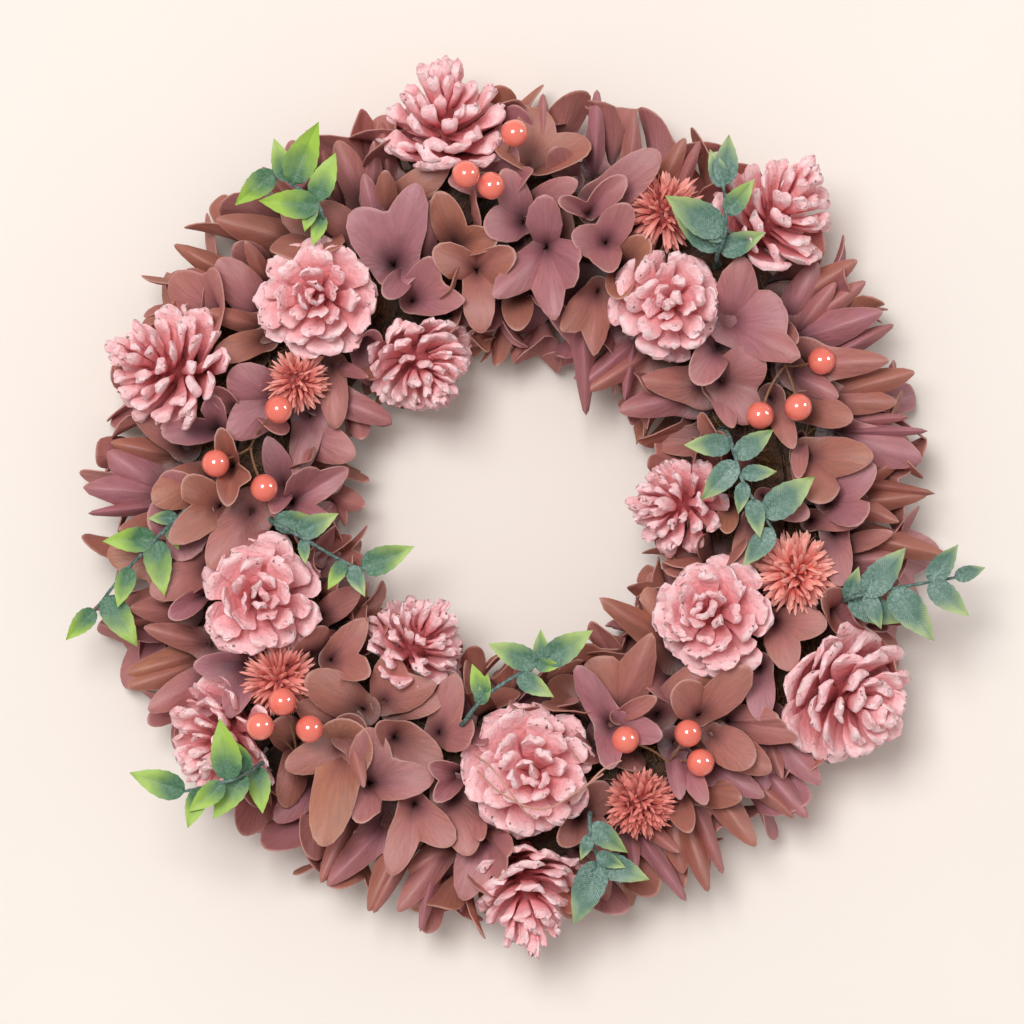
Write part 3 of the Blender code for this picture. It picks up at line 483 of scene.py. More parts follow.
def cone_scales(number, count, row):
    """Points (scales, stations, corners, 3) in the cone's frame, with each point's share along and its edge.

    A scale's middle line bends from its root by the axis to its tip on the cone's outline. Its section is a
    rounded oblong that grows in width and thickness, with its rims raised to a cup.
    """
    diameter, length, _, width_share, cup, twist, bend, thick = row
    draw = np.random.default_rng(30 + number)
    share = np.clip((np.arange(count) + draw.uniform(-0.6, 0.6, count)) / (count - 1), 0, 1)
    turn = np.arange(count) * GOLDEN_ANGLE + draw.normal(0, 0.09, count)
    side = np.stack((np.cos(turn), np.sin(turn), 0 * turn), axis=-1)
    up = np.array((0.0, 0.0, length))
    root = side * CONE_AXIS_GAP + up * between(CONE_ROOTS, share)[:, None]
    reach = diameter / 2 * between(CONE_REACH, share**CONE_REACH_POWER) * draw.uniform(0.90, 1.05, count)
    tip_up = between(CONE_TIPS, share**CONE_TIP_POWER) + draw.normal(0, 0.05, count)
    tip = side * reach[:, None] + up * np.minimum(tip_up, 1)[:, None]
    knee = root + side * (reach * 0.62)[:, None] + (tip - root) * (up > 0) * (0.5 - bend / 2)
    outline = np.array(SCALE_OUTLINE)
    s = outline[:, 0][None, :, None]
    line = root[:, None] * (1 - s) ** 2 + 2 * knee[:, None] * s * (1 - s) + tip[:, None] * s**2
    along = unit(np.gradient(line, axis=1))
    level = np.stack((-side[:, 1], side[:, 0], side[:, 2]), axis=-1)[:, None]
    rise = unit(np.cross(along, level))
    roll = np.radians(draw.normal(0, twist, count))[:, None, None] * s
    across = level * np.cos(roll) + rise * np.sin(roll)
    rise = unit(np.cross(along, across))
    corner = np.arange(SCALE_CORNERS) * math.tau / SCALE_CORNERS
    flat_x = np.sign(np.cos(corner)) * np.abs(np.cos(corner)) ** 0.8
    flat_y = np.sign(np.sin(corner)) * np.abs(np.sin(corner)) ** 0.7
    width = diameter * between(CONE_SCALE_WIDTH, share) * width_share * draw.uniform(0.80, 1.20, count)
    wide = width[:, None, None] * outline[:, 1][None, :, None] * flat_x / 2
    end = np.clip((outline[:, 0] - 0.72) / 0.2, 0, 1)[None, :, None]
    knob = draw.uniform(0.7, 1.7, count)[:, None, None]
    lift = thick * MM * outline[:, 2][None, :, None] * flat_y / 2 * (1 - 0.35 * np.abs(flat_x))
    cup = cup * (1.2 - share)[:, None, None]
    lift = lift * (1 + (knob - 1) * end) + cup * wide**2 / width[:, None, None] * 1.6
    phase = draw.uniform(2, 5, (count, 1, 1)) * flat_x + draw.uniform(0, math.tau, (count, 1, 1))
    ruffle = end * SCALE_RUFFLE
    lift = lift + ruffle * np.sin(phase)
    points = line[:, :, None] + across[:, :, None] * wide[..., None] + rise[:, :, None] * lift[..., None]
    points = points + along[:, :, None] * (ruffle * np.sin(phase * 1.7))[..., None]
    edge = np.clip(end * (0.6 + 0.4 * np.abs(flat_x)) + 0.3 * np.abs(flat_x) ** 3 * (s > 0.6), 0, 1)
    return points, s + 0 * wide, edge + 0 * wide


for number, row in enumerate(CONES, 1):
    clock, radius, lean_out, lean_round, *look = row
    diameter, length, count = look[0] * MM, look[1] * MM, look[2]
    scales, scale_along, scale_edge = cone_scales(number, count, (diameter, length, *look[2:]))
    core_up = np.linspace(0, 1, 9)[1:-1] * math.pi
    core_height = CONE_CORE_SHARE * length * (0.42 - 0.5 * np.cos(core_up))
    core = lathe(CONE_FOOT * 0.8 * np.sin(core_up), core_height, 12)
    turned = standing(direction(clock, lean_out, lean_round), math.radians(clock * CONE_SPIN))
    foot, outward = on_bed(clock, radius - RING_RADIUS / MM)
    scales = scales @ turned.T + foot
    core = core @ turned.T + foot
    name = f"pine_cone_{number:02d}"
    cloud = scales.reshape(-1, 3)
    own = (cloud.min(axis=0) + cloud.max(axis=0)) / 2
    shift = outward * np.dot(node_middle(name) - own, outward)
    scales, core = crumple(crumple(scales + shift, 8 * MM, 0.9 * MM), 2.6 * MM, 0.25 * MM), core + shift
    skins = [(skin(scales, along=scale_along, edge=scale_edge), 0), (skin(core), 0)]
    for cone, thick, *bends in WISPS:
        if cone == number:
            bends = np.array([from_pixel(*bend) for bend in bends]) + CENTRE
            skins.append((tube(smooth_path(bends, 30)[None], thick / 2 * MM), 1))
    piece(f"painted_cone_{number:02d}", skins, [cone_paint, loose_straw], [name])

# Dried flowers. Everlasting heads dyed coral: a small dome packed with hundreds of stiff papery bracts, some
# like bristles, some like flat petals, one a ball of stubby scales. Each is glued to the bed.

# Clock angle, radius at the base, lean out, diameter; then bracts, their width and reach as shares of the
# diameter, how far they cover the dome, how pointed they are, and the shade from orange, 0, to brick, 1
FLOWERS = (
    (149, 103, 0, 27, 230, 0.055, 0.50, 1.5, 0.15, 0.35),
    (217, 116, 4, 29, 210, 0.060, 0.56, 1.4, 0.10, 0.50),
    (294, 127, 22, 31, 420, 0.062, 0.48, 1.6, 0.20, 1.00),
    (347, 119, 10, 33, 300, 0.070, 0.52, 1.5, 0.30, 0.00),
    (62, 131, 34, 33, 260, 0.060, 0.52, 1.5, 0.15, 0.45),
)
# Width up a bract as a share of its widest, for a pointed one and a blunt one, and thickness as a share of width
BRACT_WIDTHS = np.array(((0.6, 1.0, 0.9, 0.55, 0.0), (0.5, 0.8, 1.0, 0.9, 0.4)))
BRACT_THINNESS = 0.32

coral, shader = new_finish("dyed_coral", 0.7)
up_bract, shade = reading(coral, "along"), reading(coral, "tone")
speckle = noise(coral, 500, 3)
root_shade, tip_shade = blend(shade, "#f06c62", "#bb453e"), blend(shade, "#ffb9aa", "#f48c7e")
dye_and_painted_shade = coats(
    blend(fade(up_bract, 0.35, 0.95), root_shade, tip_shade),
    (times(speckle, 0.4), "#ffbdb0"),
    # Painted shade: dark red towards the bracts' roots and over the dome, deep among the packed bracts.
    (fade(up_bract, 0.35, 0.1), "#8a2c28"),
)
paint(shader, dye_and_painted_shade, speckle, 0.4, 0.0006)

for number, row in enumerate(FLOWERS, 1):
    clock, radius, lean_out, diameter, count, wide, reach, cover, blunt, brick = row
    diameter *= MM
    draw = np.random.default_rng(60 + number)
    share = (np.arange(count) + 0.5) / count
    polar = np.arccos(1 - cover * share) + draw.normal(0, 0.07, count)
    turn = np.arange(count) * GOLDEN_ANGLE + draw.normal(0, 0.12, count)
    way = np.stack((np.sin(polar) * np.cos(turn), np.sin(polar) * np.sin(turn), np.cos(polar)), axis=-1)
    level = unit(np.cross(way, np.array((0.02, 0.03, 1.0))))
    roll = draw.normal(0, 0.6, count)[:, None]
    across = level * np.cos(roll) + np.cross(way, level) * np.sin(roll)
    s = np.array((0, 0.35, 0.65, 0.88, 1))[None, :, None]
    start, end = diameter * 0.16, diameter * reach * draw.uniform(0.86, 1.04, count)[:, None, None]
    sag = np.cross(across, way)[:, None] * (draw.normal(0, 0.10, count) * diameter)[:, None, None] * s**2
    line = way[:, None] * (start + (end - start) * s) + sag
    along = unit(np.gradient(line, axis=1))
    rise = unit(np.cross(along, across[:, None] + 0 * along))
    size = np.maximum(between(BRACT_WIDTHS, blunt), 0.06)[None]
    size = size * (wide * diameter * draw.uniform(0.8, 1.2, count))[:, None]
    offsets = np.array(((1, 0), (0, 1), (-1, 0), (0, -1))) * (0.5, BRACT_THINNESS / 2)
    points = line[:, :, None] + across[:, None, None] * (offsets[:, 0] * size[..., None])[..., None]
    points = points + rise[:, :, None] * (offsets[:, 1] * size[..., None])[..., None]
    dome_turn = np.linspace(0.3, 2.85, 8)
    dome = lathe(diameter * 0.26 * np.sin(dome_turn), -diameter * 0.26 * np.cos(dome_turn), 14)
    turned = standing(direction(clock, lean_out), 0)
    foot, outward = on_bed(clock, radius - RING_RADIUS / MM)
    name = f"dried_flower_{number:02d}"
    points, dome = points @ turned.T + foot, dome @ turned.T + foot
    shift = outward * np.dot(node_middle(name) - foot, outward)
    tones = np.clip(brick + draw.normal(0, 0.12, count), 0, 1)[:, None, None]
    skins = [(skin(points + shift, along=s, tone=tones), 0), (skin(dome + shift, tone=brick), 0)]
    piece(f"coral_head_{number:02d}", skins, [coral], [name])

# Berry picks. Glossy coral balls of plastic on thin papered wires, three to a pick, twisted into one stalk that
# is stuck in the bed.

# Clock angle and radius of the knot, then clock angle, radius and depth of each berry
BERRIES = (
    (91, 133, ((89, 150.5, 54), (97.2, 134, 70), (93, 129, 62))),
    (167, 107, ((157.0, 100, 62), (171.5, 119, 54), (175.5, 98.5, 54))),
    (27, 123, ((25, 140, 42), (20, 108, 52), (19, 123.5, 54))),
    (229.5, 129, ((220.8, 119.5, 64), (221.5, 132, 74), (228.2, 119.5, 60))),
    (302, 122, ((296.8, 105, 52), (308.5, 116.5, 52), (307, 129, 50))),
)
BERRY_RADIUS = 5.6 * MM
BERRY_WIRE = 0.5 * MM
BERRY_KNOT = 9 * MM

berry_skin, shader = new_finish("berry_skin", 0.2)
blush = noise(berry_skin, 70, 2)
paint(shader, blend(blush, "#f8705f", "#fd8a76"), blush, 0.05, 0.0004)
shader.inputs["Coat Weight"].default_value = 1.0
shader.inputs["Coat Roughness"].default_value = 0.04

papered_wire, shader = new_finish("papered_wire", 0.75)
wraps = noise(papered_wire, 700, 3)
paint(shader, blend(wraps, "#5e3a26", "#b07f58"), wraps, 0.5, 0.0004)


def arc(start, end, sag, count):
    """A path (count, 3) from start to end with a bulge of sag, which is a vector, in the middle."""
    s = np.linspace(0, 1, count)[:, None]
    return start + (end - start) * s + sag * 4 * s * (1 - s)


ball_turn = np.linspace(0.04, math.pi - 0.04, 22)
ball = lathe(BERRY_RADIUS * np.sin(ball_turn), -BERRY_RADIUS * np.cos(ball_turn), 30)
for number, (clock, radius, berries) in enumerate(BERRIES, 1):
    foot, outward = on_bed(clock, radius - RING_RADIUS / MM)
    knot = foot + outward * BERRY_KNOT
    draw = np.random.default_rng(80 + number)
    skins = []
    for order, (berry_clock, berry_radius, berry_depth) in enumerate(berries):
        middle = place(berry_clock, berry_radius * MM, berry_depth * MM)
        way = unit(middle - knot)
        turned = standing(way, 0.4 * order)
        skins.append((skin(ball @ turned.T + middle), 0))
        bow = np.cross(way, unit(draw.normal(size=3))) * 1.5 * MM
        path = arc(knot, middle - way * BERRY_RADIUS * 0.6, bow, 14)
        skins.append((tube(path[None], BERRY_WIRE), 1))
        s = np.linspace(0, 1, 16)[:, None]
        side = unit(np.cross(outward, np.array((0.3, 0.1, 0.9))))
        turn = order * math.tau / 3 + s * 9
        swirl = side * np.cos(turn) + np.cross(outward, side) * np.sin(turn)
        stalk = foot + outward * (0.4 * MM + s * (BERRY_KNOT - 0.4 * MM)) + swirl * BERRY_WIRE * 1.1
        skins.append((tube(stalk[None], BERRY_WIRE), 1))
    piece(f"berries_{number:02d}", skins, [berry_skin, papered_wire], [f"berry_pick_{number:02d}"])

# Leafy sprigs. Moulded greenery: a stiff dark stem and pointed folded leaves, blue-green with a frosted dust
# near the stem and yellow-green at tips and edges. Each stands in the bed among the petals.

# In mm from the wreath's centre: the stem as (right, up, depth), and its leaves as (share of the way up the
# stem, angle seen from the front, length)
SPRIGS = (
    (
        ((-73, 112, 0), (-74, 116, 56), (-78, 124, 60), (-86, 129, 58), (-95, 136, 52)),
        (
            (0.3, 257, 13), (0.42, 177, 24), (0.5, 252, 13), (0.5, 63, 21), (0.8, 70, 27), (0.85, 108, 18),
            (1, 216, 21),
        ),
    ),
    (
        ((-126, 2, 0), (-131, -2, 46), (-143, -14, 50), (-157, -29, 46), (-169, -44, 38)),
        (
            (0.3, 182, 12), (0.4, 293, 10), (0.5, 179, 21), (0.5, 275, 23), (0.7, 253, 17), (0.9, 300, 24),
            (1, 223, 17),
        ),
    ),
    (
        ((-98, -4, 0), (-95, -6, 52), (-85, -11, 58), (-66, -22, 56), (-58, -25, 54)),
        ((0.25, 358, 19), (0.5, 29, 19), (0.55, 270, 10), (0.8, 239, 13), (0.85, 290, 14), (1, 20, 23)),
    ),
    (
        ((-98, -101, 0), (-99, -103, 56), (-108, -108, 74), (-119, -111, 76), (-131, -114, 70)),
        (
            (0.3, 280, 19), (0.4, 131, 19), (0.45, 233, 22), (0.6, 94, 25), (0.65, 223, 18),
            (0.85, 251, 17), (1, 160, 23),
        ),
    ),
    (
        ((-19, -90, 0), (-18, -87, 52), (-9, -76, 57), (6, -66, 58), (16, -61, 56)),
        (
            (0.45, 70, 13), (0.5, 112, 15), (0.75, 329, 17), (0.9, 358, 11), (0.92, 158, 21),
            (0.97, 92, 13), (1, 29, 23),
        ),
    ),
    (
        ((33, -122, 0), (33, -124, 52), (33, -131, 56), (35, -138, 54), (37, -144, 50)),
        ((0.4, 320, 19), (0.55, 244, 11), (0.85, 334, 13), (0.95, 335, 22), (1, 245, 27)),
    ),
    (
        ((132, -38, 0), (137, -37, 50), (148, -34, 56), (165, -31, 54), (183, -28, 48)),
        (
            (0.22, 66, 14), (0.25, 335, 24), (0.42, 46, 25), (0.45, 289, 15), (0.62, 310, 27),
            (0.85, 54, 19), (0.85, 316, 21), (1, 20, 13),
        ),
    ),
    (
        ((88, 32, 0), (89, 28, 56), (94, 11, 60), (101, -1, 60), (107, -10, 58)),
        (
            (0.3, 175, 19), (0.38, 36, 19), (0.42, 224, 21), (0.5, 8, 14), (0.55, 257, 13), (0.68, 279, 16),
            (0.85, 39, 26), (1, 236, 19),
        ),
    ),
    (
        ((84, 97, 0), (84, 101, 58), (87, 110, 66), (87, 120, 68), (86, 131, 64)),
        (
            (0.3, 19, 20), (0.33, 140, 25), (0.45, 157, 11), (0.52, 151, 28), (0.7, 54, 18),
            (0.97, 110, 16), (1, 81, 20),
        ),
    ),
)
STEM_RADIUS = 1.0 * MM
STEM_RISE = 7 * MM
STEM_POINTS = 6
LEAF_WIDTH = 0.5
LEAF_THICK = 0.55 * MM
LEAST_HALF_LEAF = 0.15 * MM
LEAF_FOLD = 0.4
LEAF_DROOP = 0.12
LEAF_INSET = 0.2
LEAF_TRIES = 40
LEAF_LIFT_DEG = 12
LEAF_SWING_DEG = 60
LEAF_ROLL_DEG = 50
LEAF_SHRINK = 0.3
LEAF_TEETH = 6
# How far each sprig has turned from blue-green, 0, to yellow-green, 1
SPRIG_LIME = (0.62, 0.52, 0.45, 0.56, 0.50, 0.10, 0.18, 0.22, 0.34)

leaf_green, shader = new_finish("leaf_green", 0.5)
up_leaf, off_rib, leaf_tone = (reading(leaf_green, title) for title in ("along", "across", "tone"))
mottle = noise(leaf_green, 260, 4)
dust = noise(leaf_green, 900, 3, rough=0.7)
vein_inputs = {"Vector": reading(leaf_green, "grain", "Vector"), "Scale": 1.0, "Distortion": 0.6, "Detail": 1.0}
veins = add_node(leaf_green.node_tree, "ShaderNodeTexWave", vein_inputs).outputs["Fac"]
lime = plus(up_leaf, times(off_rib, 0.25))
lime = plus(lime, times(leaf_tone, 0.6))
lime = plus(lime, times(noise(leaf_green, 110, 3), 0.6))
yellowed = fade(leaf_tone, 0.35, 0.6)
fresh, old = blend(yellowed, "#b6c678", "#a9cc3c"), blend(yellowed, "#3a6a56", "#27682f")
frost = plus(times(fade(up_leaf, 0.65, 0.1), fade(dust, 0.42, 0.62)), times(dust, 0.3))
green = coats(
    blend(fade(lime, 1.05, 1.5), old, fresh),
    (times(fade(veins, 0.75, 1.0), 0.4), "#7f9f72"),
    (times(frost, fade(leaf_tone, 1.0, -0.1)), "#8fa9a4"),
)
paint(shader, green, plus(veins, mottle), 0.25, 0.0007)

stem_green, shader = new_finish("stem_green", 0.6)
grit = noise(stem_green, 700, 4, rough=0.7)
paint(shader, blend(fade(grit, 0.4, 0.65), "#2f5049", "#7d9a92"), grit, 0.7, 0.0008)


def leaf_pose(angle, length, base, corners):
    """The (way, face, size) of the CAD leaf: the try whose point comes nearest to a corner of the CAD sprig."""
    attempt = np.arange(LEAF_TRIES)
    swing = attempt / LEAF_TRIES * np.where(attempt % 2, 1, -1)
    lift = np.radians(LEAF_LIFT_DEG + LEAF_SWING_DEG * swing)[:, None]
    turn = math.radians(angle)
    level = np.array((math.cos(turn), 0, math.sin(turn)))
    way = level * np.cos(lift) + FRONT * np.sin(lift)
    roll = np.radians(LEAF_ROLL_DEG * swing)[:, None]
    dot = np.sum(way * FRONT, axis=1, keepdims=True)
    face = FRONT * np.cos(roll) + np.cross(way, FRONT) * np.sin(roll) + way * dot * (1 - np.cos(roll))
    size = length * MM * (1 - LEAF_SHRINK * attempt / LEAF_TRIES)
    across = unit(np.cross(way, face))
    up = np.cross(across, way)
    tips = base + way * size[:, None] - up * (LEAF_DROOP * size)[:, None]
    far = np.linalg.norm(tips[:, None] - corners[None], axis=-1).min(axis=1)
    best = int(far.argmin())
    return way[best], face[best], size[best]


def leaf(base, way, face, size, draw, tone):
    """One blade (1, stations, corners, 3): a pointed oval folded along its rib, toothed, drooping to its tip.

    Half width = shape x (1 + a small saw), rise = fold x distance from the rib - droop x share squared.
    """
    s = np.linspace(0, 1, 19)[:, None]
    shape = 2.95 * s**0.6 * (1 - s) ** 1.05 * LEAF_WIDTH * size / 2
    saw = 1 + 0.09 * (np.mod(-s * LEAF_TEETH, 1) - 0.5) * (s > 0.15) * (s < 0.92)
    v = np.linspace(-1, 1, 7)
    v = np.concatenate((v, v[::-1]))
    off = np.abs(v)
    top = np.repeat((1, -1), 7)
    across = unit(np.cross(way, face))
    up = np.cross(across, way)
    half = np.maximum(shape * saw, LEAST_HALF_LEAF)
    wave = draw.uniform(-0.06, 0.06) * size * np.sin(s * 5 + draw.uniform(0, 6)) * off
    curl = draw.uniform(0.6, 1.5)
    fold = LEAF_FOLD * draw.uniform(0.5, 1.2)
    rise = fold * half * off + wave - curl * LEAF_DROOP * size * s**2
    rise = rise + top * LEAF_THICK / 2 * (1 - 0.5 * off**4) * (1 - 0.6 * s**3)
    sway = draw.uniform(-0.08, 0.08) * size * s**2
    points = base + way * (s * size)[..., None] + across * (half * v + sway)[..., None] + up * rise[..., None]
    grain = np.stack((s * 9 - off * 1.6, 0 * rise, 0 * rise), axis=-1)
    return skin(points[None], along=s, across=off, tone=tone, grain=grain)


sprig_spots = []
for number, (stem, leaves) in enumerate(SPRIGS, 1):
    draw = np.random.default_rng(100 + number)
    right, up, _ = stem[0]
    foot, outward = on_bed(math.degrees(math.atan2(up, right)), math.hypot(right, up) - RING_RADIUS / MM)
    bends = [CENTRE + np.array((right, -depth, up)) * MM for right, up, depth in stem[1:]]
    knots = np.array([foot + outward * STEM_RISE] + bends)
    line = smooth_path(knots, STEM_POINTS)
    fine = np.vstack((foot + outward * 0.4 * MM, smooth_path(knots, 40)))
    taper = np.linspace(1.1, 0.55, len(fine)) * (1 + 0.12 * np.sin(np.arange(len(fine)) * 1.9))
    skins = [(tube(fine[None], STEM_RADIUS * taper[None], 8), 1)]
    name = f"leaf_sprig_{number:02d}"
    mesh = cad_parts[name].data
    corners = np.empty(len(mesh.vertices) * 3)
    mesh.vertices.foreach_get("co", corners)
    corners = corners.reshape(-1, 3)
    sprig_spots.append(fine[::3])
    for share, angle, length in leaves:
        where = share * (len(line) - 1 - LEAF_INSET)
        step = min(int(where), len(line) - 2)
        base = line[step] + (line[step + 1] - line[step]) * (where - step)
        way, face, size = leaf_pose(angle, length, base, corners)
        tone = SPRIG_LIME[number - 1] + draw.uniform(-0.15, 0.15)
        skins.append((leaf(base, way, face, size, draw, tone), 0))
        sprig_spots.append(base + way * size * np.array((0.35, 0.7))[:, None])
    piece(f"sprig_{number:02d}", skins, [leaf_green, stem_green], [name])

# Petal bunches. Thin dried petals, each a curled sheet of two to four lobes pinched at its middle, brown to
# dusty mauve, glued in side by side over a layer of fibres, partly brown fibre and partly darkened as painted
# shade in the gaps. One node for each eighth, outside and inside.

BUNCHES = 8
BUNCH_GAP_DEG = 0.35
PETAL_THICK = 0.55 * MM
# Distance out from the ring's middle, lean out, and least distance between blooms; then how many lobes, their
# length, how far they spread, their width and how pointed they are, from 0 to 1
PETAL_ROWS = (
    (14, 22, 21, (2, 3, 3), 27, 62, 16, 0.2),
    (-8, -14, 21, (2, 3, 3), 26, 62, 16, 0.2),
    (4, 6, 21, (2, 3, 3), 26, 58, 16, 0.2),
    (21, 44, 17, (2, 3, 3), 29, 54, 17, 0.2),
    (25, 62, 15, (2, 3, 3), 33, 48, 17, 0.3),
    (27.4, 80, 14, (2, 3, 3), 34, 44, 17, 0.3),
    (-17, -36, 17, (2, 3, 3), 27, 54, 15, 0.4),
    (-23, -58, 16, (2, 3, 3), 27, 46, 14, 0.7),
    (-27.4, -80, 16, (3, 3, 4), 27, 38, 13, 0.9),
)
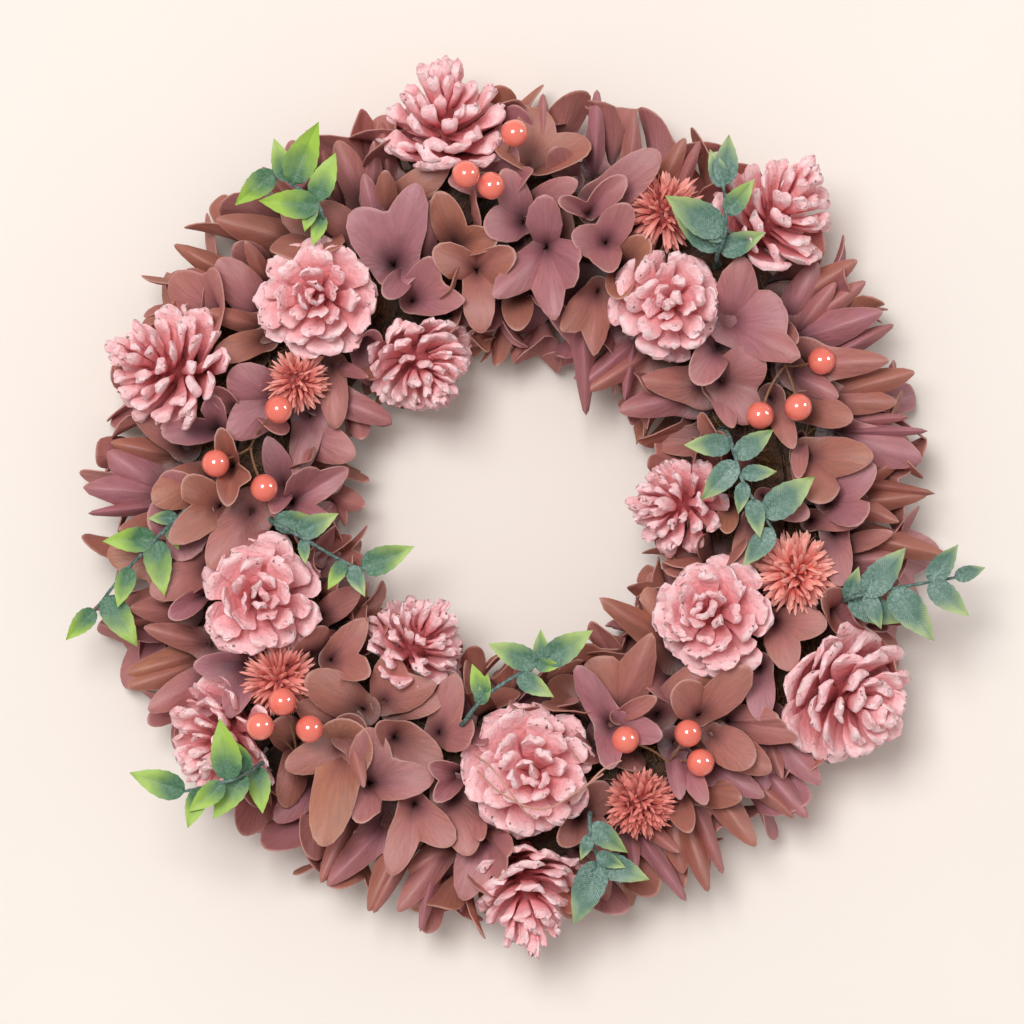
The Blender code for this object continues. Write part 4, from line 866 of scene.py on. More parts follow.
# Blooms read off the photograph, where a pixel is 0.405 mm: the pixel of the root, how far the neck
# lifts it in mm, tone from brown at 0 to mauve at 1, width of its lobes in mm, and the pixel of each lobe's tip
FRONT_BLOOMS = (
    (394, 266, 7, 0.95, 19, (356, 218), (416, 193)),
    (380, 235, 4, 0.7, 9, (366, 180)),
    (363, 200, 2, 0.5, 14, (338, 143)),
    (372, 195, 3, 0.65, 8, (374, 143)),
    (387, 180, 2, 0.45, 8, (381, 123)),
    (389, 206, 4, 0.05, 17, (446, 166)),
    (386, 218, 5, 0.15, 9, (386, 176)),
    (359, 236, 3, 0.3, 14, (320, 206)),
    (422, 271, 5, 0.6, 9, (431, 206)),
    (456, 246, 4, 0.05, 19, (439, 196), (495, 240)),
    (477, 271, 9, 0.3, 15, (439, 254), (508, 256), (481, 329)),
    (412, 302, 7, 0.75, 16, (431, 259), (464, 301)),
    (408, 272, 4, 0.8, 12, (386, 297)),
    (295, 239, 3, 0.1, 15, (220, 220)),
    (330, 185, 0, 0.4, 7, (323, 152)),
    (296, 206, 1, 0.15, 9, (264, 169)),
    (236, 273, 2, 0.15, 11, (177, 246)),
    (228, 284, 1, 0.3, 11, (188, 270)),
    (262, 313, 5, 0.7, 17, (222, 263)),
    (262, 266, 2, 0.6, 13, (236, 245)),
    (268, 284, 4, 0.3, 8, (249, 247)),
    (263, 326, 4, 0.15, 8, (213, 314)),
    (266, 339, 5, 0.05, 14, (219, 356)),
    (278, 399, 6, 0.8, 17, (236, 374), (233, 434)),
    (239, 412, 3, 0.6, 13, (216, 391)),
    (219, 430, 5, 1.0, 14, (166, 433), (216, 398)),
    (334, 368, 5, 0.35, 13, (336, 425)),
    (336, 366, 3, 0.7, 6, (367, 377)),
    (349, 409, 1, 0.65, 12, (388, 420)),
    (156, 493, 3, 0.8, 14, (86, 488), (110, 453)),
    (158, 505, 1, 0.75, 6, (91, 513)),
    (173, 455, 3, 0.05, 11, (113, 443)),
    (183, 446, 1, 0.3, 13, (135, 415)),
    (213, 473, 4, 0.1, 17, (158, 499)),
    (233, 466, 7, 0.15, 15, (223, 433), (250, 480), (229, 503)),
    (221, 506, 8, 0.1, 16, (191, 480), (176, 539)),
    (254, 511, 7, 0.45, 18, (214, 564)),
    (258, 515, 4, 0.4, 17, (243, 566)),
    (289, 488, 6, 0.85, 15, (269, 441), (277, 508)),
    (320, 416, 6, 0.65, 14, (297, 478)),
    (311, 503, 5, 0.75, 15, (345, 470), (296, 478), (317, 524)),
    (325, 440, 2, 0.6, 18, (352, 455)),
    (209, 566, 5, 0.4, 15, (156, 592)),
    (183, 613, 3, 0.35, 12, (134, 608)),
    (151, 593, 1, 0.35, 10, (110, 615)),
    (203, 595, 5, 1.0, 13, (176, 614)),
    (160, 521, 2, 0.15, 12, (122, 529)),
    (153, 621, 0, 0.3, 5, (113, 625)),
    (210, 646, 4, 0.35, 11, (148, 628)),
    (193, 658, 3, -0.1, 12, (129, 673)),
    (180, 676, 1, 0.0, 11, (131, 686)),
    (203, 676, 5, 0.55, 14, (151, 709)),
    (249, 666, 5, 1.1, 14, (200, 664), (231, 713)),
    (216, 678, 3, 0.9, 12, (206, 712)),
    (331, 660, 6, 0.3, 16, (365, 621), (369, 673)),
    (365, 709, 6, 0.2, 18, (309, 676)),
    (342, 746, 8, 0.3, 14, (291, 764)),
    (344, 748, 6, -0.1, 18, (325, 838)),
    (349, 732, 7, 0.3, 6, (364, 782)),
    (347, 726, 3, 0.2, 14, (302, 706)),
    (309, 792, 3, 0.8, 14, (277, 820)),
    (330, 612, 3, 0.45, 14, (358, 590)),
    (384, 702, 8, 0.3, 16, (391, 652), (434, 684)),
    (392, 706, 5, 0.35, 15, (441, 700)),
    (439, 733, 6, 0.5, 15, (456, 676), (470, 738)),
    (368, 786, 6, 0.55, 19, (368, 730), (430, 777), (361, 816)),
    (461, 774, 3, 0.75, 13, (432, 764), (437, 797)),
    (452, 794, 4, 0.5, 15, (469, 850)),
    (474, 805, 2, 0.6, 7, (481, 835)),
    (414, 805, 7, 0.45, 15, (393, 869), (451, 838)),
    (458, 846, 3, 0.4, 11, (411, 871)),
    (383, 835, 4, 0.75, 14, (330, 883)),
    (338, 835, 2, 0.45, 8, (322, 880)),
    (393, 863, 1, 0.15, 12, (370, 908)),
    (403, 873, 0, 0.5, 9, (375, 910)),
    (448, 866, 2, 0.55, 13, (400, 909)),
    (428, 899, 0, 0.85, 8, (421, 928)),
    (487, 835, 5, 0.65, 18, (464, 896), (505, 851)),
    (459, 886, 0, 0.85, 6, (461, 910)),
    (485, 828, 3, 0.2, 7, (511, 850)),
    (616, 714, 6, 0.25, 19, (650, 635), (588, 665)),
    (616, 716, 9, 0.35, 10, (652, 698)),
    (610, 724, 8, 0.95, 12, (577, 666), (661, 734), (608, 764)),
    (656, 714, 3, 0.35, 15, (707, 666)),
    (698, 716, 7, 0.3, 17, (676, 690), (744, 670)),
    (712, 735, 8, 0.3, 17, (751, 762)),
    (714, 738, 6, 0.2, 15, (766, 768)),
    (709, 766, 4, 0.7, 12, (761, 795)),
    (683, 759, 4, 0.75, 10, (703, 799)),
    (674, 743, 4, 0.9, 8, (679, 796)),
    (759, 666, 6, 0.8, 14, (760, 716)),
    (774, 621, 5, 0.4, 14, (787, 663), (819, 624)),
    (729, 723, 4, 0.4, 12, (794, 736), (776, 717)),
    (764, 738, 3, 0.8, 13, (766, 787)),
    (775, 735, 3, 0.35, 8, (782, 777)),
    (789, 744, 3, 0.75, 14, (818, 782)),
    (774, 776, 1, 0.7, 11, (805, 815)),
    (761, 794, 0, 0.3, 9, (792, 816)),
    (703, 802, 3, 0.05, 13, (737, 797)),
    (676, 799, 3, 0.2, 13, (688, 828)),
    (726, 807, 1, 0.1, 13, (754, 844)),
    (679, 824, 1, 0.3, 14, (683, 871)),
    (699, 833, 0, 0.1, 11, (707, 888)),
    (706, 817, 2, 0.5, 7, (722, 871)),
    (643, 853, 1, 0.75, 7, (684, 898)),
    (638, 836, 0, 0.6, 6, (635, 874)),
    (643, 835, 2, 0.4, 7, (676, 850)),
    (604, 865, 0, 0.3, 10, (606, 900)),
    (634, 613, 3, 0.05, 12, (602, 600), (650, 590)),
    (729, 322, 8, 0.7, 17, (741, 264), (777, 307), (792, 356)),
    (720, 381, 7, 0.6, 16, (758, 359), (752, 419)),
    (715, 385, 5, 0.6, 9, (732, 427)),
    (790, 320, 4, 0.75, 13, (816, 265)),
    (799, 333, 5, 0.6, 8, (834, 285)),
    (800, 338, 4, 0.85, 16, (878, 313)),
    (821, 278, 1, 0.3, 13, (854, 262)),
    (829, 308, 1, 0.5, 11, (863, 283)),
    (852, 346, 1, 0.8, 9, (891, 326)),
    (805, 364, 3, 0.4, 13, (884, 361)),
    (837, 392, 2, 0.1, 13, (911, 373)),
    (833, 399, 4, 0.25, 12, (894, 402)),
    (842, 421, 1, 0.75, 6, (906, 417)),
    (849, 432, 3, 0.8, 18, (919, 459)),
    (870, 424, 4, 0.95, 6, (924, 431)),
    (806, 456, 6, 0.15, 16, (868, 457), (819, 500)),
    (829, 503, 7, 0.8, 16, (872, 466), (862, 520)),
    (763, 496, 7, 0.65, 15, (806, 516)),
    (771, 397, 4, 0.35, 11, (791, 447)),
    (806, 406, 3, 0.25, 12, (845, 418)),
    (790, 369, 3, 0.6, 10, (835, 396)),
    (770, 318, 3, 0.45, 13, (796, 344)),
    (803, 436, 3, 0.5, 9, (796, 477)),
    (864, 493, 2, 0.2, 9, (906, 454)),
    (886, 503, 1, 0.1, 10, (924, 495)),
    (880, 478, 1, 0.2, 5, (932, 493)),
    (857, 500, 3, 0.25, 9, (897, 521)),
    (813, 520, 3, 0.5, 9, (854, 523)),
    (836, 531, 5, 0.7, 15, (839, 583)),
    (846, 548, 3, 0.5, 11, (889, 533)),
    (877, 533, 2, 0.15, 11, (944, 556)),
    (856, 566, 3, 0.65, 13, (902, 556)),
    (751, 520, 5, 0.4, 14, (743, 575)),
    (726, 503, 3, -0.1, 11, (726, 529)),
    (886, 597, 0, 0.3, 8, (906, 622)),
    (773, 619, 4, 0.4, 14, (821, 621), (786, 664)),
    (547, 246, 8, 0.8, 14, (545, 203), (573, 262), (498, 294), (554, 315)),
    (606, 243, 8, 0.7, 15, (626, 207), (573, 242), (606, 272)),
    (588, 213, 7, 0.75, 15, (620, 183), (563, 205)),
    (600, 203, 3, 0.7, 18, (656, 155)),
    (598, 291, 7, 0.25, 14, (594, 353), (561, 331)),
    (524, 223, 6, 0.75, 15, (490, 232), (505, 175)),
    (528, 205, 4, 0.65, 12, (572, 185)),
    (545, 150, 1, 0.6, 8, (543, 96)),
    (600, 160, 1, 0.8, 8, (597, 93)),
    (575, 175, 2, 0.6, 12, (553, 150)),
    (640, 165, 1, 0.4, 9, (634, 112)),
    (666, 175, 1, 0.2, 9, (684, 140)),
    (688, 178, 1, 0.65, 6, (699, 143)),
    (517, 292, 3, 0.1, 14, (517, 325)),
    (565, 350, 2, 0.7, 9, (586, 410)),
    (624, 346, 3, 0.85, 6, (626, 397)),
    (625, 382, 2, 0.35, 9, (590, 389)),
    (621, 364, 3, 0.8, 9, (585, 382)),
    (703, 387, 4, 0.4, 15, (643, 380)),
    (676, 405, 2, 0.7, 13, (622, 410)),
)
LEAST_LOBE = 27 * MM
# The widest a lobe opens, in radians, on the middle of the bed and at its edges
FLATTEST = (1.0, 1.4)
# Half the angle that a lobe takes up, in radians, and how sharply its sides turn into the web
LOBE_HALF = 0.9
WEB_POWER = 3
WIDE_WEB_DEG = 105
MOST_LOBES = 5
# How far out in mm a listed root may lie, and how deep a root sits in the bed
MOST_OUT = 25.5
ROOT_SINK = 2 * MM
# The least distance between two roots, on the bed's face and on its sides
ROOT_GAP = (8 * MM, 4 * MM)
CROWD_REACH = 4.6 * MM
# What a millimetre inside an ornament costs, and a point in the hole or nearer than this to the wall
ORNAMENT_COST = 0.6
BANNED_COST = 20
LEAST_DEPTH = 1.5 * MM
# What crowding is put up with, on the bed's face and on its sides
MOST_COST = (36, 170)
# A sheet's corners round it, and its rows from the pinched middle to the rim
PETAL_AROUND = 36
PETAL_STATIONS = (0.03, 0.16, 0.32, 0.48, 0.63, 0.76, 0.87, 0.95, 1)
BLOOM_STEP_DEG = 2.5
BLOOM_TRIES = 60
# The hole that stays open, in mm from the wreath's centre
HOLE_SIDES = (-36, 45)
HOLE_ENDS = (-35, 37)
# The balls that stand for a cone: how far up it each lies, and its radius as a share of the diameter
CONE_KEPT = ((0.05, 0.30), (0.25, 0.44), (0.5, 0.36), (0.8, 0.20))
FIBRES = 240
FIBRE_REACH = (5, 13)
FIBRE_RADIUS = (0.10, 0.28)
# Where the ornaments stand: their middles and how far from them a petal stays clear, in metres
solid_spots, solid_sizes = [], []
for clock, radius, lean_out, lean_round, diameter, length, *_ in CONES:
    foot, _ = on_bed(clock, radius - RING_RADIUS / MM)
    axis = direction(clock, lean_out, lean_round)
    for up, share in CONE_KEPT:
        solid_spots.append(foot + axis * length * up * MM)
        solid_sizes.append(diameter * share * MM)
for number, row in enumerate(FLOWERS, 1):
    solid_spots.append(node_middle(f"dried_flower_{number:02d}"))
    solid_sizes.append(row[3] * 0.5 * MM)
for _, _, berries in BERRIES:
    for clock, radius, depth in berries:
        solid_spots.append(place(clock, radius * MM, depth * MM))
        solid_sizes.append(BERRY_RADIUS + 1.5 * MM)
for spots in sprig_spots:
    for spot in spots:
        solid_spots.append(spot)
        solid_sizes.append(2.2 * MM)
solid_spots, solid_sizes = np.array(solid_spots), np.array(solid_sizes)


def bloom_frame(axis, spin):
    """3 x 3 matrices (..., 3, 3) with the bloom's own X, Y and Z as columns."""
    side = unit(np.cross(axis, np.array((0.12, 0.21, 0.97))))
    other = np.cross(axis, side)
    c, s = np.cos(spin)[..., None], np.sin(spin)[..., None]
    return np.stack((side * c + other * s, other * c - side * s, np.broadcast_to(axis, side.shape)), axis=-1)


def bloom_sheet(share, u, look):
    """(local points, turn) of a bloom: from the middle, steps of du x reach along its opening angle.

    Share is the way round, and v runs from -1 to 1 across a lobe, which lies round its own centre and has its
    own reach and opening, mixed with its neighbour's towards the notch. The outline is an ellipse with its end
    at the root: with w the lobe's width over its length and a the angle off its middle, w squared x cos a /
    (w squared x cos a squared + sin a squared). It and the notch are added as powers, so the web between two
    lobes is round. The opening grows from the pinched middle to the ends, and a lobe's sides, where q is 1,
    curl in. A neck lifts the whole.
    """
    count = look["count"].astype(int)
    where = share * count
    number = np.floor(where + 1e-6).astype(int)
    v = 2 * (where - number) - 1
    side = np.where(v > 0, 1, -1)
    beside = np.mod(number + side, count)
    near = {name: np.take_along_axis(look[name], number, axis=2) for name in ("centres", "reaches", "opens")}
    far = {name: np.take_along_axis(look[name], beside, axis=2) for name in near}
    gap = np.mod(side * (far["centres"] - near["centres"]), math.tau) / 2
    gap = np.where(gap < 0.05, math.pi, gap)
    towards = v**2 / 2
    reach = near["reaches"] * (1 - towards) + far["reaches"] * towards
    spread = near["opens"] * (1 - towards) + far["opens"] * towards
    notch = np.take_along_axis(look["notches"], np.where(v > 0, number, np.mod(number - 1, count)), axis=2)
    seen = near["reaches"] * np.sin(np.clip(near["opens"] * 0.8, 0.3, 1.5))
    slim = np.clip(look["width"] / seen, 0.1, 0.98) ** 2
    off = gap * np.abs(v) ** 1.5
    q = np.sin(math.pi / 2 * np.minimum(off / LOBE_HALF, 1))
    c, s = np.maximum(np.cos(off), 0), np.sin(off)
    outline = (slim * c / (slim * c**2 + s**2 + 1e-9)) ** WEB_POWER + notch**WEB_POWER
    outline = (outline / (1 + notch**WEB_POWER)) ** (1 / WEB_POWER)
    turn = near["centres"] + side * off * (1 - 0.6 * look["point"] * outline**2 * (1 - v**4))
    reach = reach * outline
    angle = spread * (0.3 + u)
    angle = angle + look["flare"] * (1 - q**2) * u**2 - look["curl"] * q**2 * u
    angle = angle + look["wave"] * np.sin(count * 2 * turn + look["start"]) * u**2
    step = np.diff(u, axis=1, prepend=0)
    out = np.cumsum(np.sin(angle) * reach * step, axis=1)
    up = np.cumsum(np.cos(angle) * reach * step, axis=1) + look["neck"] * np.minimum(u / 0.16, 1)
    round_by = turn + look["swirl"] * u
    return np.stack((out * np.cos(round_by), out * np.sin(round_by), up), axis=-1), turn


def bloom_looks(count, draw, lobes, length, spread, width, point):
    """Seeded shapes for that many blooms: each value is (count, 1, 1), or (count, 1, lobes)."""
    lobes = draw.choice(lobes, count)
    order = np.arange(MOST_LOBES)
    fan = draw.uniform(0.62, 1.0, (count, 1)) * math.tau / lobes[:, None]
    centres = (order + draw.uniform(-0.12, 0.12, (count, MOST_LOBES))) * fan
    lopsided = draw.uniform(0, 0.45, (count, 1)) * np.cos(centres - draw.uniform(0, math.tau, (count, 1)))
    deep = draw.uniform(0, 1, (count, MOST_LOBES)) < 0.45
    looks = {
        "count": lobes,
        "centres": centres,
        "reaches": length * draw.uniform(0.88, 1.12, (count, MOST_LOBES)),
        "opens": spread * draw.uniform(0.75, 1.2, (count, 1)) * (1 + lopsided),
        "notches": np.where(deep, 0.32, 0.58) * draw.uniform(0.8, 1.15, (count, MOST_LOBES)),
        "width": width * draw.uniform(0.85, 1.15, count),
        "point": point * draw.uniform(0.6, 1.2, count),
        "start": draw.uniform(0, math.tau, count),
        "flare": draw.uniform(-0.1, 0.3, count),
        "curl": draw.uniform(-0.15, 0.35, count),
        "wave": draw.uniform(0, 0.08, count),
        "swirl": draw.uniform(-0.2, 0.2, count),
        "neck": draw.uniform(0, 4, count) * MM,
    }
    return {name: np.asarray(value, dtype=float).reshape(count, 1, -1) for name, value in looks.items()}


def read_bloom(row, draw):
    """(clock angle, mm out, start, matrix, look) of a listed bloom, whose lobes end at the tips given.

    A lobe is at least as long as real ones are. One that looks shorter stands up towards the viewer: its
    opening is the arc sine of the seen length over the real one. Lobes near each other share a wide web.
    """
    x, y, neck, _, width, *tips = row
    across, _, rise = from_pixel(x, y)
    clock = math.degrees(math.atan2(rise, across))
    out = float(np.clip((math.hypot(across, rise) - RING_RADIUS) / MM, -MOST_OUT, MOST_OUT))
    root, outward = on_bed(clock, out)
    start = root - outward * ROOT_SINK
    steps = np.array([from_pixel(*tip) for tip in tips]) - (start - CENTRE)
    centres = np.mod(np.arctan2(steps[:, 2], steps[:, 0]), math.tau)
    order = np.argsort(centres)
    centres = centres[order]
    seen = np.hypot(steps[order, 0], steps[order, 2])
    share = np.minimum(seen / (LEAST_LOBE * draw.uniform(0.9, 1.1)), 1)
    opens = np.minimum(np.arcsin(share) / 0.8, between(FLATTEST, abs(out) / MOST_OUT))
    reaches = seen * opens / (np.cos(0.3 * opens) - np.cos(1.3 * opens))
    gaps = np.degrees(np.mod(np.roll(centres, -1) - centres, math.tau))
    webs = np.where((gaps > 1) & (gaps < WIDE_WEB_DEG), draw.uniform(0.40, 0.56), draw.uniform(0.22, 0.38))
    spare = (0, MOST_LOBES - len(tips))
    looks = {
        "count": len(tips),
        "centres": np.pad(centres, spare),
        "reaches": np.pad(reaches, spare, constant_values=1),
        "opens": np.pad(opens, spare, constant_values=1),
        "notches": np.pad(webs, spare, constant_values=0.2),
        "width": width * MM,
        "point": draw.uniform(0, 0.5) + 0.4 * (abs(out) > 18),
        "start": draw.uniform(0, math.tau),
        "flare": draw.uniform(-0.2, 0.2),
        "curl": draw.uniform(-0.1, 0.6),
        "wave": draw.uniform(0, 0.12),
        "swirl": 0,
        "neck": neck * MM,
    }
    look = {name: np.asarray(value, dtype=float).reshape(1, -1) for name, value in looks.items()}
    facing = np.stack((np.array((1.0, 0, 0)), np.array((0, 0, 1.0)), FRONT), axis=-1)
    return clock, out, start, facing, look


def cost_of(points, grown):
    """How much each candidate's points (tries, points, 3) crowd the ornaments, other blooms, hole and wall."""
    far = np.linalg.norm(points[:, :, None] - solid_spots, axis=-1)
    cost = np.clip((solid_sizes - far) / MM, 0, None).sum(axis=(1, 2)) * ORNAMENT_COST
    if len(grown):
        near = grown[np.linalg.norm(grown - points.mean(axis=(0, 1)), axis=1) < 0.07]
        gap = np.linalg.norm(points[:, :, None] - near, axis=-1)
        cost += np.exp(-((gap / CROWD_REACH) ** 2)).sum(axis=(1, 2))
    x, z = (points[..., 0] - CENTRE[0]) / MM, (points[..., 2] - CENTRE[2]) / MM
    in_hole = (x > HOLE_SIDES[0]) & (x < HOLE_SIDES[1]) & (z > HOLE_ENDS[0]) & (z < HOLE_ENDS[1])
    at_wall = points[..., 1] > -LEAST_DEPTH
    return cost + (in_hole.sum(axis=1) + at_wall.sum(axis=1)) * BANNED_COST


def bunch_of(clock, out):
    """Which petal bunch a root belongs to, as the half of the ring's width and the eighth of its round."""
    return ("outer" if out >= 0 else "inner"), int(np.mod(clock, 360) // (360 / BUNCHES))


sample_share = (np.arange(12) / 12)[None, None]
sample_u = np.array((0.35, 0.7, 1.0))[None, :, None]
grown = np.zeros((0, 3))
roots = np.zeros((0, 3))
bunches = {}
draw = np.random.default_rng(190)
for row in FRONT_BLOOMS:
    clock, out, start, matrix, look = read_bloom(row, draw)
    samples, _ = bloom_sheet(sample_share, sample_u, {name: value[None] for name, value in look.items()})
    samples = samples.reshape(-1, 3) @ matrix.T + start
    roots = np.vstack((roots, start))
    grown = np.vstack((grown, samples))
    bunches.setdefault(bunch_of(clock, out), []).append((start, matrix, look, row[3]))
for row_number, (out, lean_out, spacing, lobes, length, spread, width, point) in enumerate(PETAL_ROWS):
    draw = np.random.default_rng(200 + row_number)
    last = None
    clocks = np.arange(0, 360, BLOOM_STEP_DEG)
    for clock in clocks + draw.uniform(0, BLOOM_STEP_DEG, len(clocks)):
        root, outward = on_bed(clock, out + draw.uniform(-2, 2) * (abs(out) < 20))
        if last is not None and np.linalg.norm(root - last) < spacing * MM:
            continue
        if len(roots) and np.linalg.norm(roots - root, axis=1).min() < ROOT_GAP[abs(out) > 26]:
            continue
        if (np.linalg.norm(solid_spots - root, axis=1) < solid_sizes * 0.7).any():
            continue
        looks = bloom_looks(BLOOM_TRIES, draw, lobes, length * MM, math.radians(spread), width * MM, point)
        lean = lean_out + draw.normal(0, 12, BLOOM_TRIES)
        lean_round = draw.normal(0, 14, BLOOM_TRIES)
        axis = direction(np.full(BLOOM_TRIES, clock), lean, lean_round)
        turned = bloom_frame(axis, draw.uniform(0, math.tau, BLOOM_TRIES))
        samples, _ = bloom_sheet(sample_share, sample_u, looks)
        start = root - outward * ROOT_SINK
        samples = np.einsum("nij,nukj->nuki", turned, samples).reshape(BLOOM_TRIES, -1, 3) + start
        costs = cost_of(samples, grown)
        best = int(costs.argmin())
        if costs[best] > MOST_COST[abs(out) > 22]:
            continue
        last = root
        roots = np.vstack((roots, root))
        grown = np.vstack((grown, samples[best]))
        look = {name: value[best] for name, value in looks.items()}
        grown_bloom = (start, turned[best], look, draw.uniform(0, 0.85))
        bunches.setdefault(bunch_of(clock, out), []).append(grown_bloom)

# Painted shade: the petals darken towards the bed, where shade falls between them. How far from the ring's
# middle line this begins, and over what distance
SHADE_FROM = 33 * MM
SHADE_REACH = 18 * MM
# Between which tones each colour comes in, over the ochre of the lowest tone
PETAL_HUES = ((-0.2, -0.02, "#ae6a58"), (0.1, 0.4, "#bd7771"), (0.4, 0.75, "#b4737d"), (0.92, 1.15, "#6e4452"))
petal, shader = new_finish("petal", 0.58)
up_petal, rim, petal_tone, height = (reading(petal, title) for title in ("along", "edge", "tone", "height"))
streaks = noise(petal, 2.2, 4, reading(petal, "grain", "Vector"), 0.6)
hue = plus(petal_tone, times(fade(noise(petal, 45, 3), 0.3, 0.7), 0.25))
hue = plus(hue, times(up_petal, -0.28))
petal_colour = coats(
    "#b8765a",
    *((fade(hue, low, high), code) for low, high, code in PETAL_HUES),
    (times(fade(streaks, 0.62, 0.3), 0.5), "#935c58"),
    # Painted shade towards each sheet's pinched middle, where the lobes shade one another.
    (times(fade(up_petal, 0.5, 0.1), 0.4), "#5c3a42"),
    (times(fade(rim, 0.3, 1.0), 0.6), "#d2a294"),
    # Painted shade towards the bed, deep between the petals.
    (times(fade(height, 0.9, 0.15), 0.86), "#34161a"),
)
paint(shader, petal_colour, plus(streaks, times(noise(petal, 1100, 2), 0.25)), 0.35, 0.0012)

fibre, shader = new_finish("fibre", 0.9)
tangle = noise(fibre, 320, 5, rough=0.75)
# Brown fibre, darkened further as painted shade in the gaps between the petals.
fibre_and_gap_shade = blend(fade(tangle, 0.35, 0.7), "#23140e", "#704828")
paint(shader, blend(reading(fibre, "tone"), fibre_and_gap_shade, "#a3763f"), tangle, 0.9, 0.0015)


def bloom_skins(rows):
    """Skins for several blooms: each sheet's under and upper face, joined by a rounded rim."""
    starts = np.array([row[0] for row in rows])[:, None, None]
    turned = np.array([row[1] for row in rows])
    looks = {name: np.array([row[2][name] for row in rows]) for name in rows[0][2]}
    tones = np.array([row[3] for row in rows])[:, None, None]
    share = (np.arange(PETAL_AROUND) / PETAL_AROUND)[None, None]
    u = np.array(PETAL_STATIONS)[None, :, None]
    sheet, turn = bloom_sheet(share, u, looks)
    around = np.roll(sheet, -1, axis=2) - np.roll(sheet, 1, axis=2)
    outwards = np.gradient(sheet, axis=1)
    normal = unit(np.cross(outwards, around))
    half = PETAL_THICK / 2
    rim = sheet[:, -1:] + unit(outwards[:, -1:]) * half
    under, upper = sheet - normal * half, sheet + normal * half
    points = np.concatenate((under, rim, upper[:, ::-1]), axis=1)
    points = np.einsum("nij,nukj->nuki", turned, points) + starts
    # Height above the bed, which the petal material turns into painted shade.
    aside = np.hypot(points[..., 0] - CENTRE[0], points[..., 2] - CENTRE[2]) - RING_RADIUS
    height = np.clip((np.hypot(aside, points[..., 1]) - SHADE_FROM) / SHADE_REACH, 0, 1)
    up = np.concatenate((u, np.ones((1, 1, 1)), u[:, ::-1]), axis=1)
    edge = np.zeros_like(up)
    edge[:, len(PETAL_STATIONS) - 1 : len(PETAL_STATIONS) + 2] = (((0.7,), (1.0,), (0.7,)),)
    size = up * looks["reaches"][..., :1] / MM
    number = np.arange(len(rows))[:, None, None] * 7.3 + tones * 50
    grain = np.stack(np.broadcast_arrays(5 * np.cos(turn), 5 * np.sin(turn), size * 0.05 + number), axis=-1)
    return skin(points, along=up, edge=edge, tone=tones, grain=grain, height=height)


for side, word in ((1, "outer"), (-1, "inner")):
    section = np.vstack((offset_section(BED_SECTION, BED_FOOT), bed_face[::-1])) * (side, 1)
    section_out, section_depth = walk(section, np.arange(40) / 40)
    for number in range(BUNCHES):
        span = 360 / BUNCHES
        clocks = np.linspace(number * span + BUNCH_GAP_DEG, (number + 1) * span - BUNCH_GAP_DEG, 25)
        bed = place(clocks[:, None], RING_RADIUS + section_out, section_depth)
        bed = crumple(bed, 9 * MM, 0.5 * MM)[None]
        draw = np.random.default_rng(400 + number + 20 * side)
        fibre_clock = draw.uniform(clocks[0] + 2, clocks[-1] - 2, FIBRES)
        fibre_out = draw.uniform(1, 27, FIBRES)
        spots = np.array([on_bed(c, side * o) for c, o in zip(fibre_clock, fibre_out)])
        feet, outs = spots[:, 0], spots[:, 1]
        ways = unit(unit(draw.normal(size=(FIBRES, 3))) + outs * draw.uniform(0.1, 0.5, (FIBRES, 1)))
        s = np.linspace(-0.5, 0.5, 6)[None, :, None]
        reach = draw.uniform(*FIBRE_REACH, FIBRES)[:, None, None] * MM
        bow = unit(draw.normal(size=(FIBRES, 3)))[:, None] * reach * s**2
        lines = feet[:, None] + outs[:, None] * 0.9 * MM + ways[:, None] * reach * s + bow
        tones = draw.uniform(0, 1, FIBRES)[:, None, None]
        fibres = tube(lines, draw.uniform(*FIBRE_RADIUS, (FIBRES, 1)) * MM, 3, tone=tones)
        skins = [(skin(bed), 1), (fibres, 1), (bloom_skins(bunches[word, number]), 0)]
        ending = f"{word}_{number + 1:02d}"
        piece(f"petals_{ending}", skins, [petal, fibre], [f"petal_bunch_{ending}"])

# View, wall and light. The camera stands straight in front, as in the photograph. The wreath hangs on a warm
# white wall, in soft light from the upper left, with two small lamps that glint on the berries.

VIEW_WIDTH = 1024 * PIXEL
VIEW_DISTANCE = 2.2
MIDDLE_DEPTH = 40 * MM
VIEW_MIDDLE = np.array((1.62, 0.0, -152.0)) * MM
# The wall's half width, how far it stands behind y = 0, and the length of ray under which it lets light through,
# so that the wreath's back isn't blackened. It is clear from behind too.
WALL_REACH = 2.0
WALL_BEHIND = 0.6 * MM
WALL_SKIPPED = 6 * MM

camera_data = bpy.data.cameras.new("camera")
camera_data.sensor_width = 36
camera_data.lens = 36 * VIEW_DISTANCE / VIEW_WIDTH
camera_data.clip_end = 20
camera = bpy.data.objects.new("camera", camera_data)
camera.location = VIEW_MIDDLE + np.array((0, -MIDDLE_DEPTH - VIEW_DISTANCE, 0))
camera.rotation_euler = (math.pi / 2, 0, 0)
bpy.context.scene.collection.objects.link(camera)
bpy.context.scene.camera = camera
bpy.context.scene.view_settings.view_transform = "Standard"

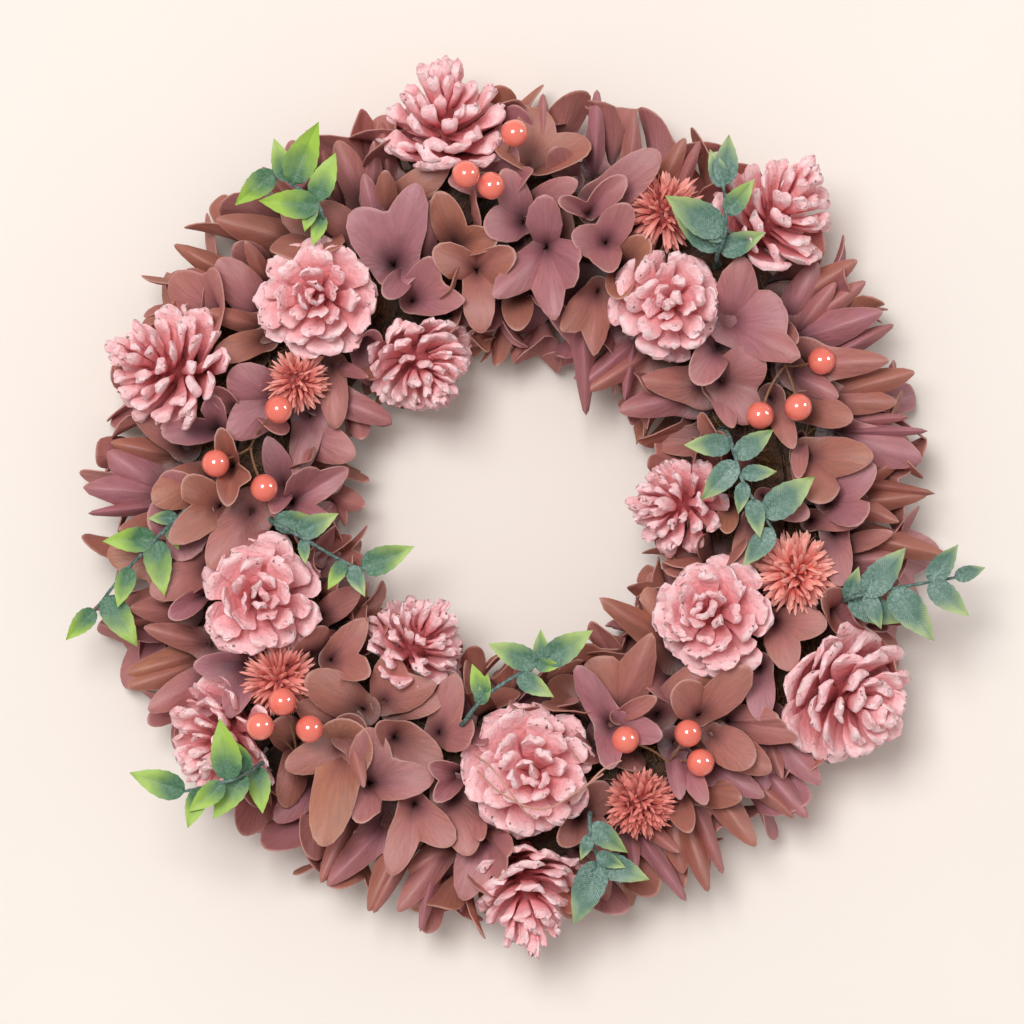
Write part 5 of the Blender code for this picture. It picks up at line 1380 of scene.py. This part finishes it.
wall_paint, shader = new_finish("wall_paint", 0.9)
plaster = noise(wall_paint, 9, 4)
paint(shader, blend(plaster, "#f9efe6", "#fcf4ec"), plaster, 0.05, 0.002)
wall_tree = wall_paint.node_tree
path_light = add_node(wall_tree, "ShaderNodeLightPath", {})
behind = add_node(wall_tree, "ShaderNodeNewGeometry", {}).outputs["Backfacing"]
close = math_node("LESS_THAN", path_light.outputs["Ray Length"], WALL_SKIPPED)
unseen = math_node("SUBTRACT", 1.0, path_light.outputs["Is Camera Ray"])
clear = math_node("MAXIMUM", behind, times(close, unseen))
glass = add_node(wall_tree, "ShaderNodeBsdfTransparent", {}).outputs[0]
either = add_node(wall_tree, "ShaderNodeMixShader", {0: clear, 1: shader.outputs[0], 2: glass})
output = next(node for node in wall_tree.nodes if node.type == "OUTPUT_MATERIAL")
wall_tree.links.new(either.outputs[0], output.inputs["Surface"])
wall_mesh = bpy.data.meshes.new("wall")
corners = [(x * WALL_REACH, WALL_BEHIND, z * WALL_REACH) for x, z in ((-1, -1), (1, -1), (1, 1), (-1, 1))]
wall_mesh.from_pydata(corners, [], [(0, 1, 2, 3)])
wall_mesh.materials.append(wall_paint)
wall = bpy.data.objects.new("wall", wall_mesh)
bpy.context.scene.collection.objects.link(wall)

world = bpy.data.worlds.new("room")
bpy.context.scene.world = world
world.use_nodes = True
world.node_tree.nodes["Background"].inputs["Color"].default_value = (1.0, 0.975, 0.95, 1)
world.node_tree.nodes["Background"].inputs["Strength"].default_value = 0.44


def lamp(name, away, distance, size, power, glint):
    """A square soft light that far from the wreath's middle along the direction away, facing it."""
    data = bpy.data.lights.new(name, "AREA")
    data.size = size
    data.energy = power
    obj = bpy.data.objects.new(name, data)
    way = unit(np.array(away))
    obj.location = CENTRE + way * distance
    obj.rotation_euler = Vector(way).to_track_quat("Z", "Y").to_euler()
    obj.visible_camera = False
    obj.visible_glossy = glint
    obj.visible_diffuse = not glint
    bpy.context.scene.collection.objects.link(obj)


lamp("key", (-0.21, -1.0, 0.29), 6.0, 2.4, 232, False)
lamp("glint_middle", (-0.24, -0.96, 0.20), 2.6, 0.75, 90, True)
lamp("glint_right", (0.83, -0.48, 0.29), 2.4, 0.5, 45, True)
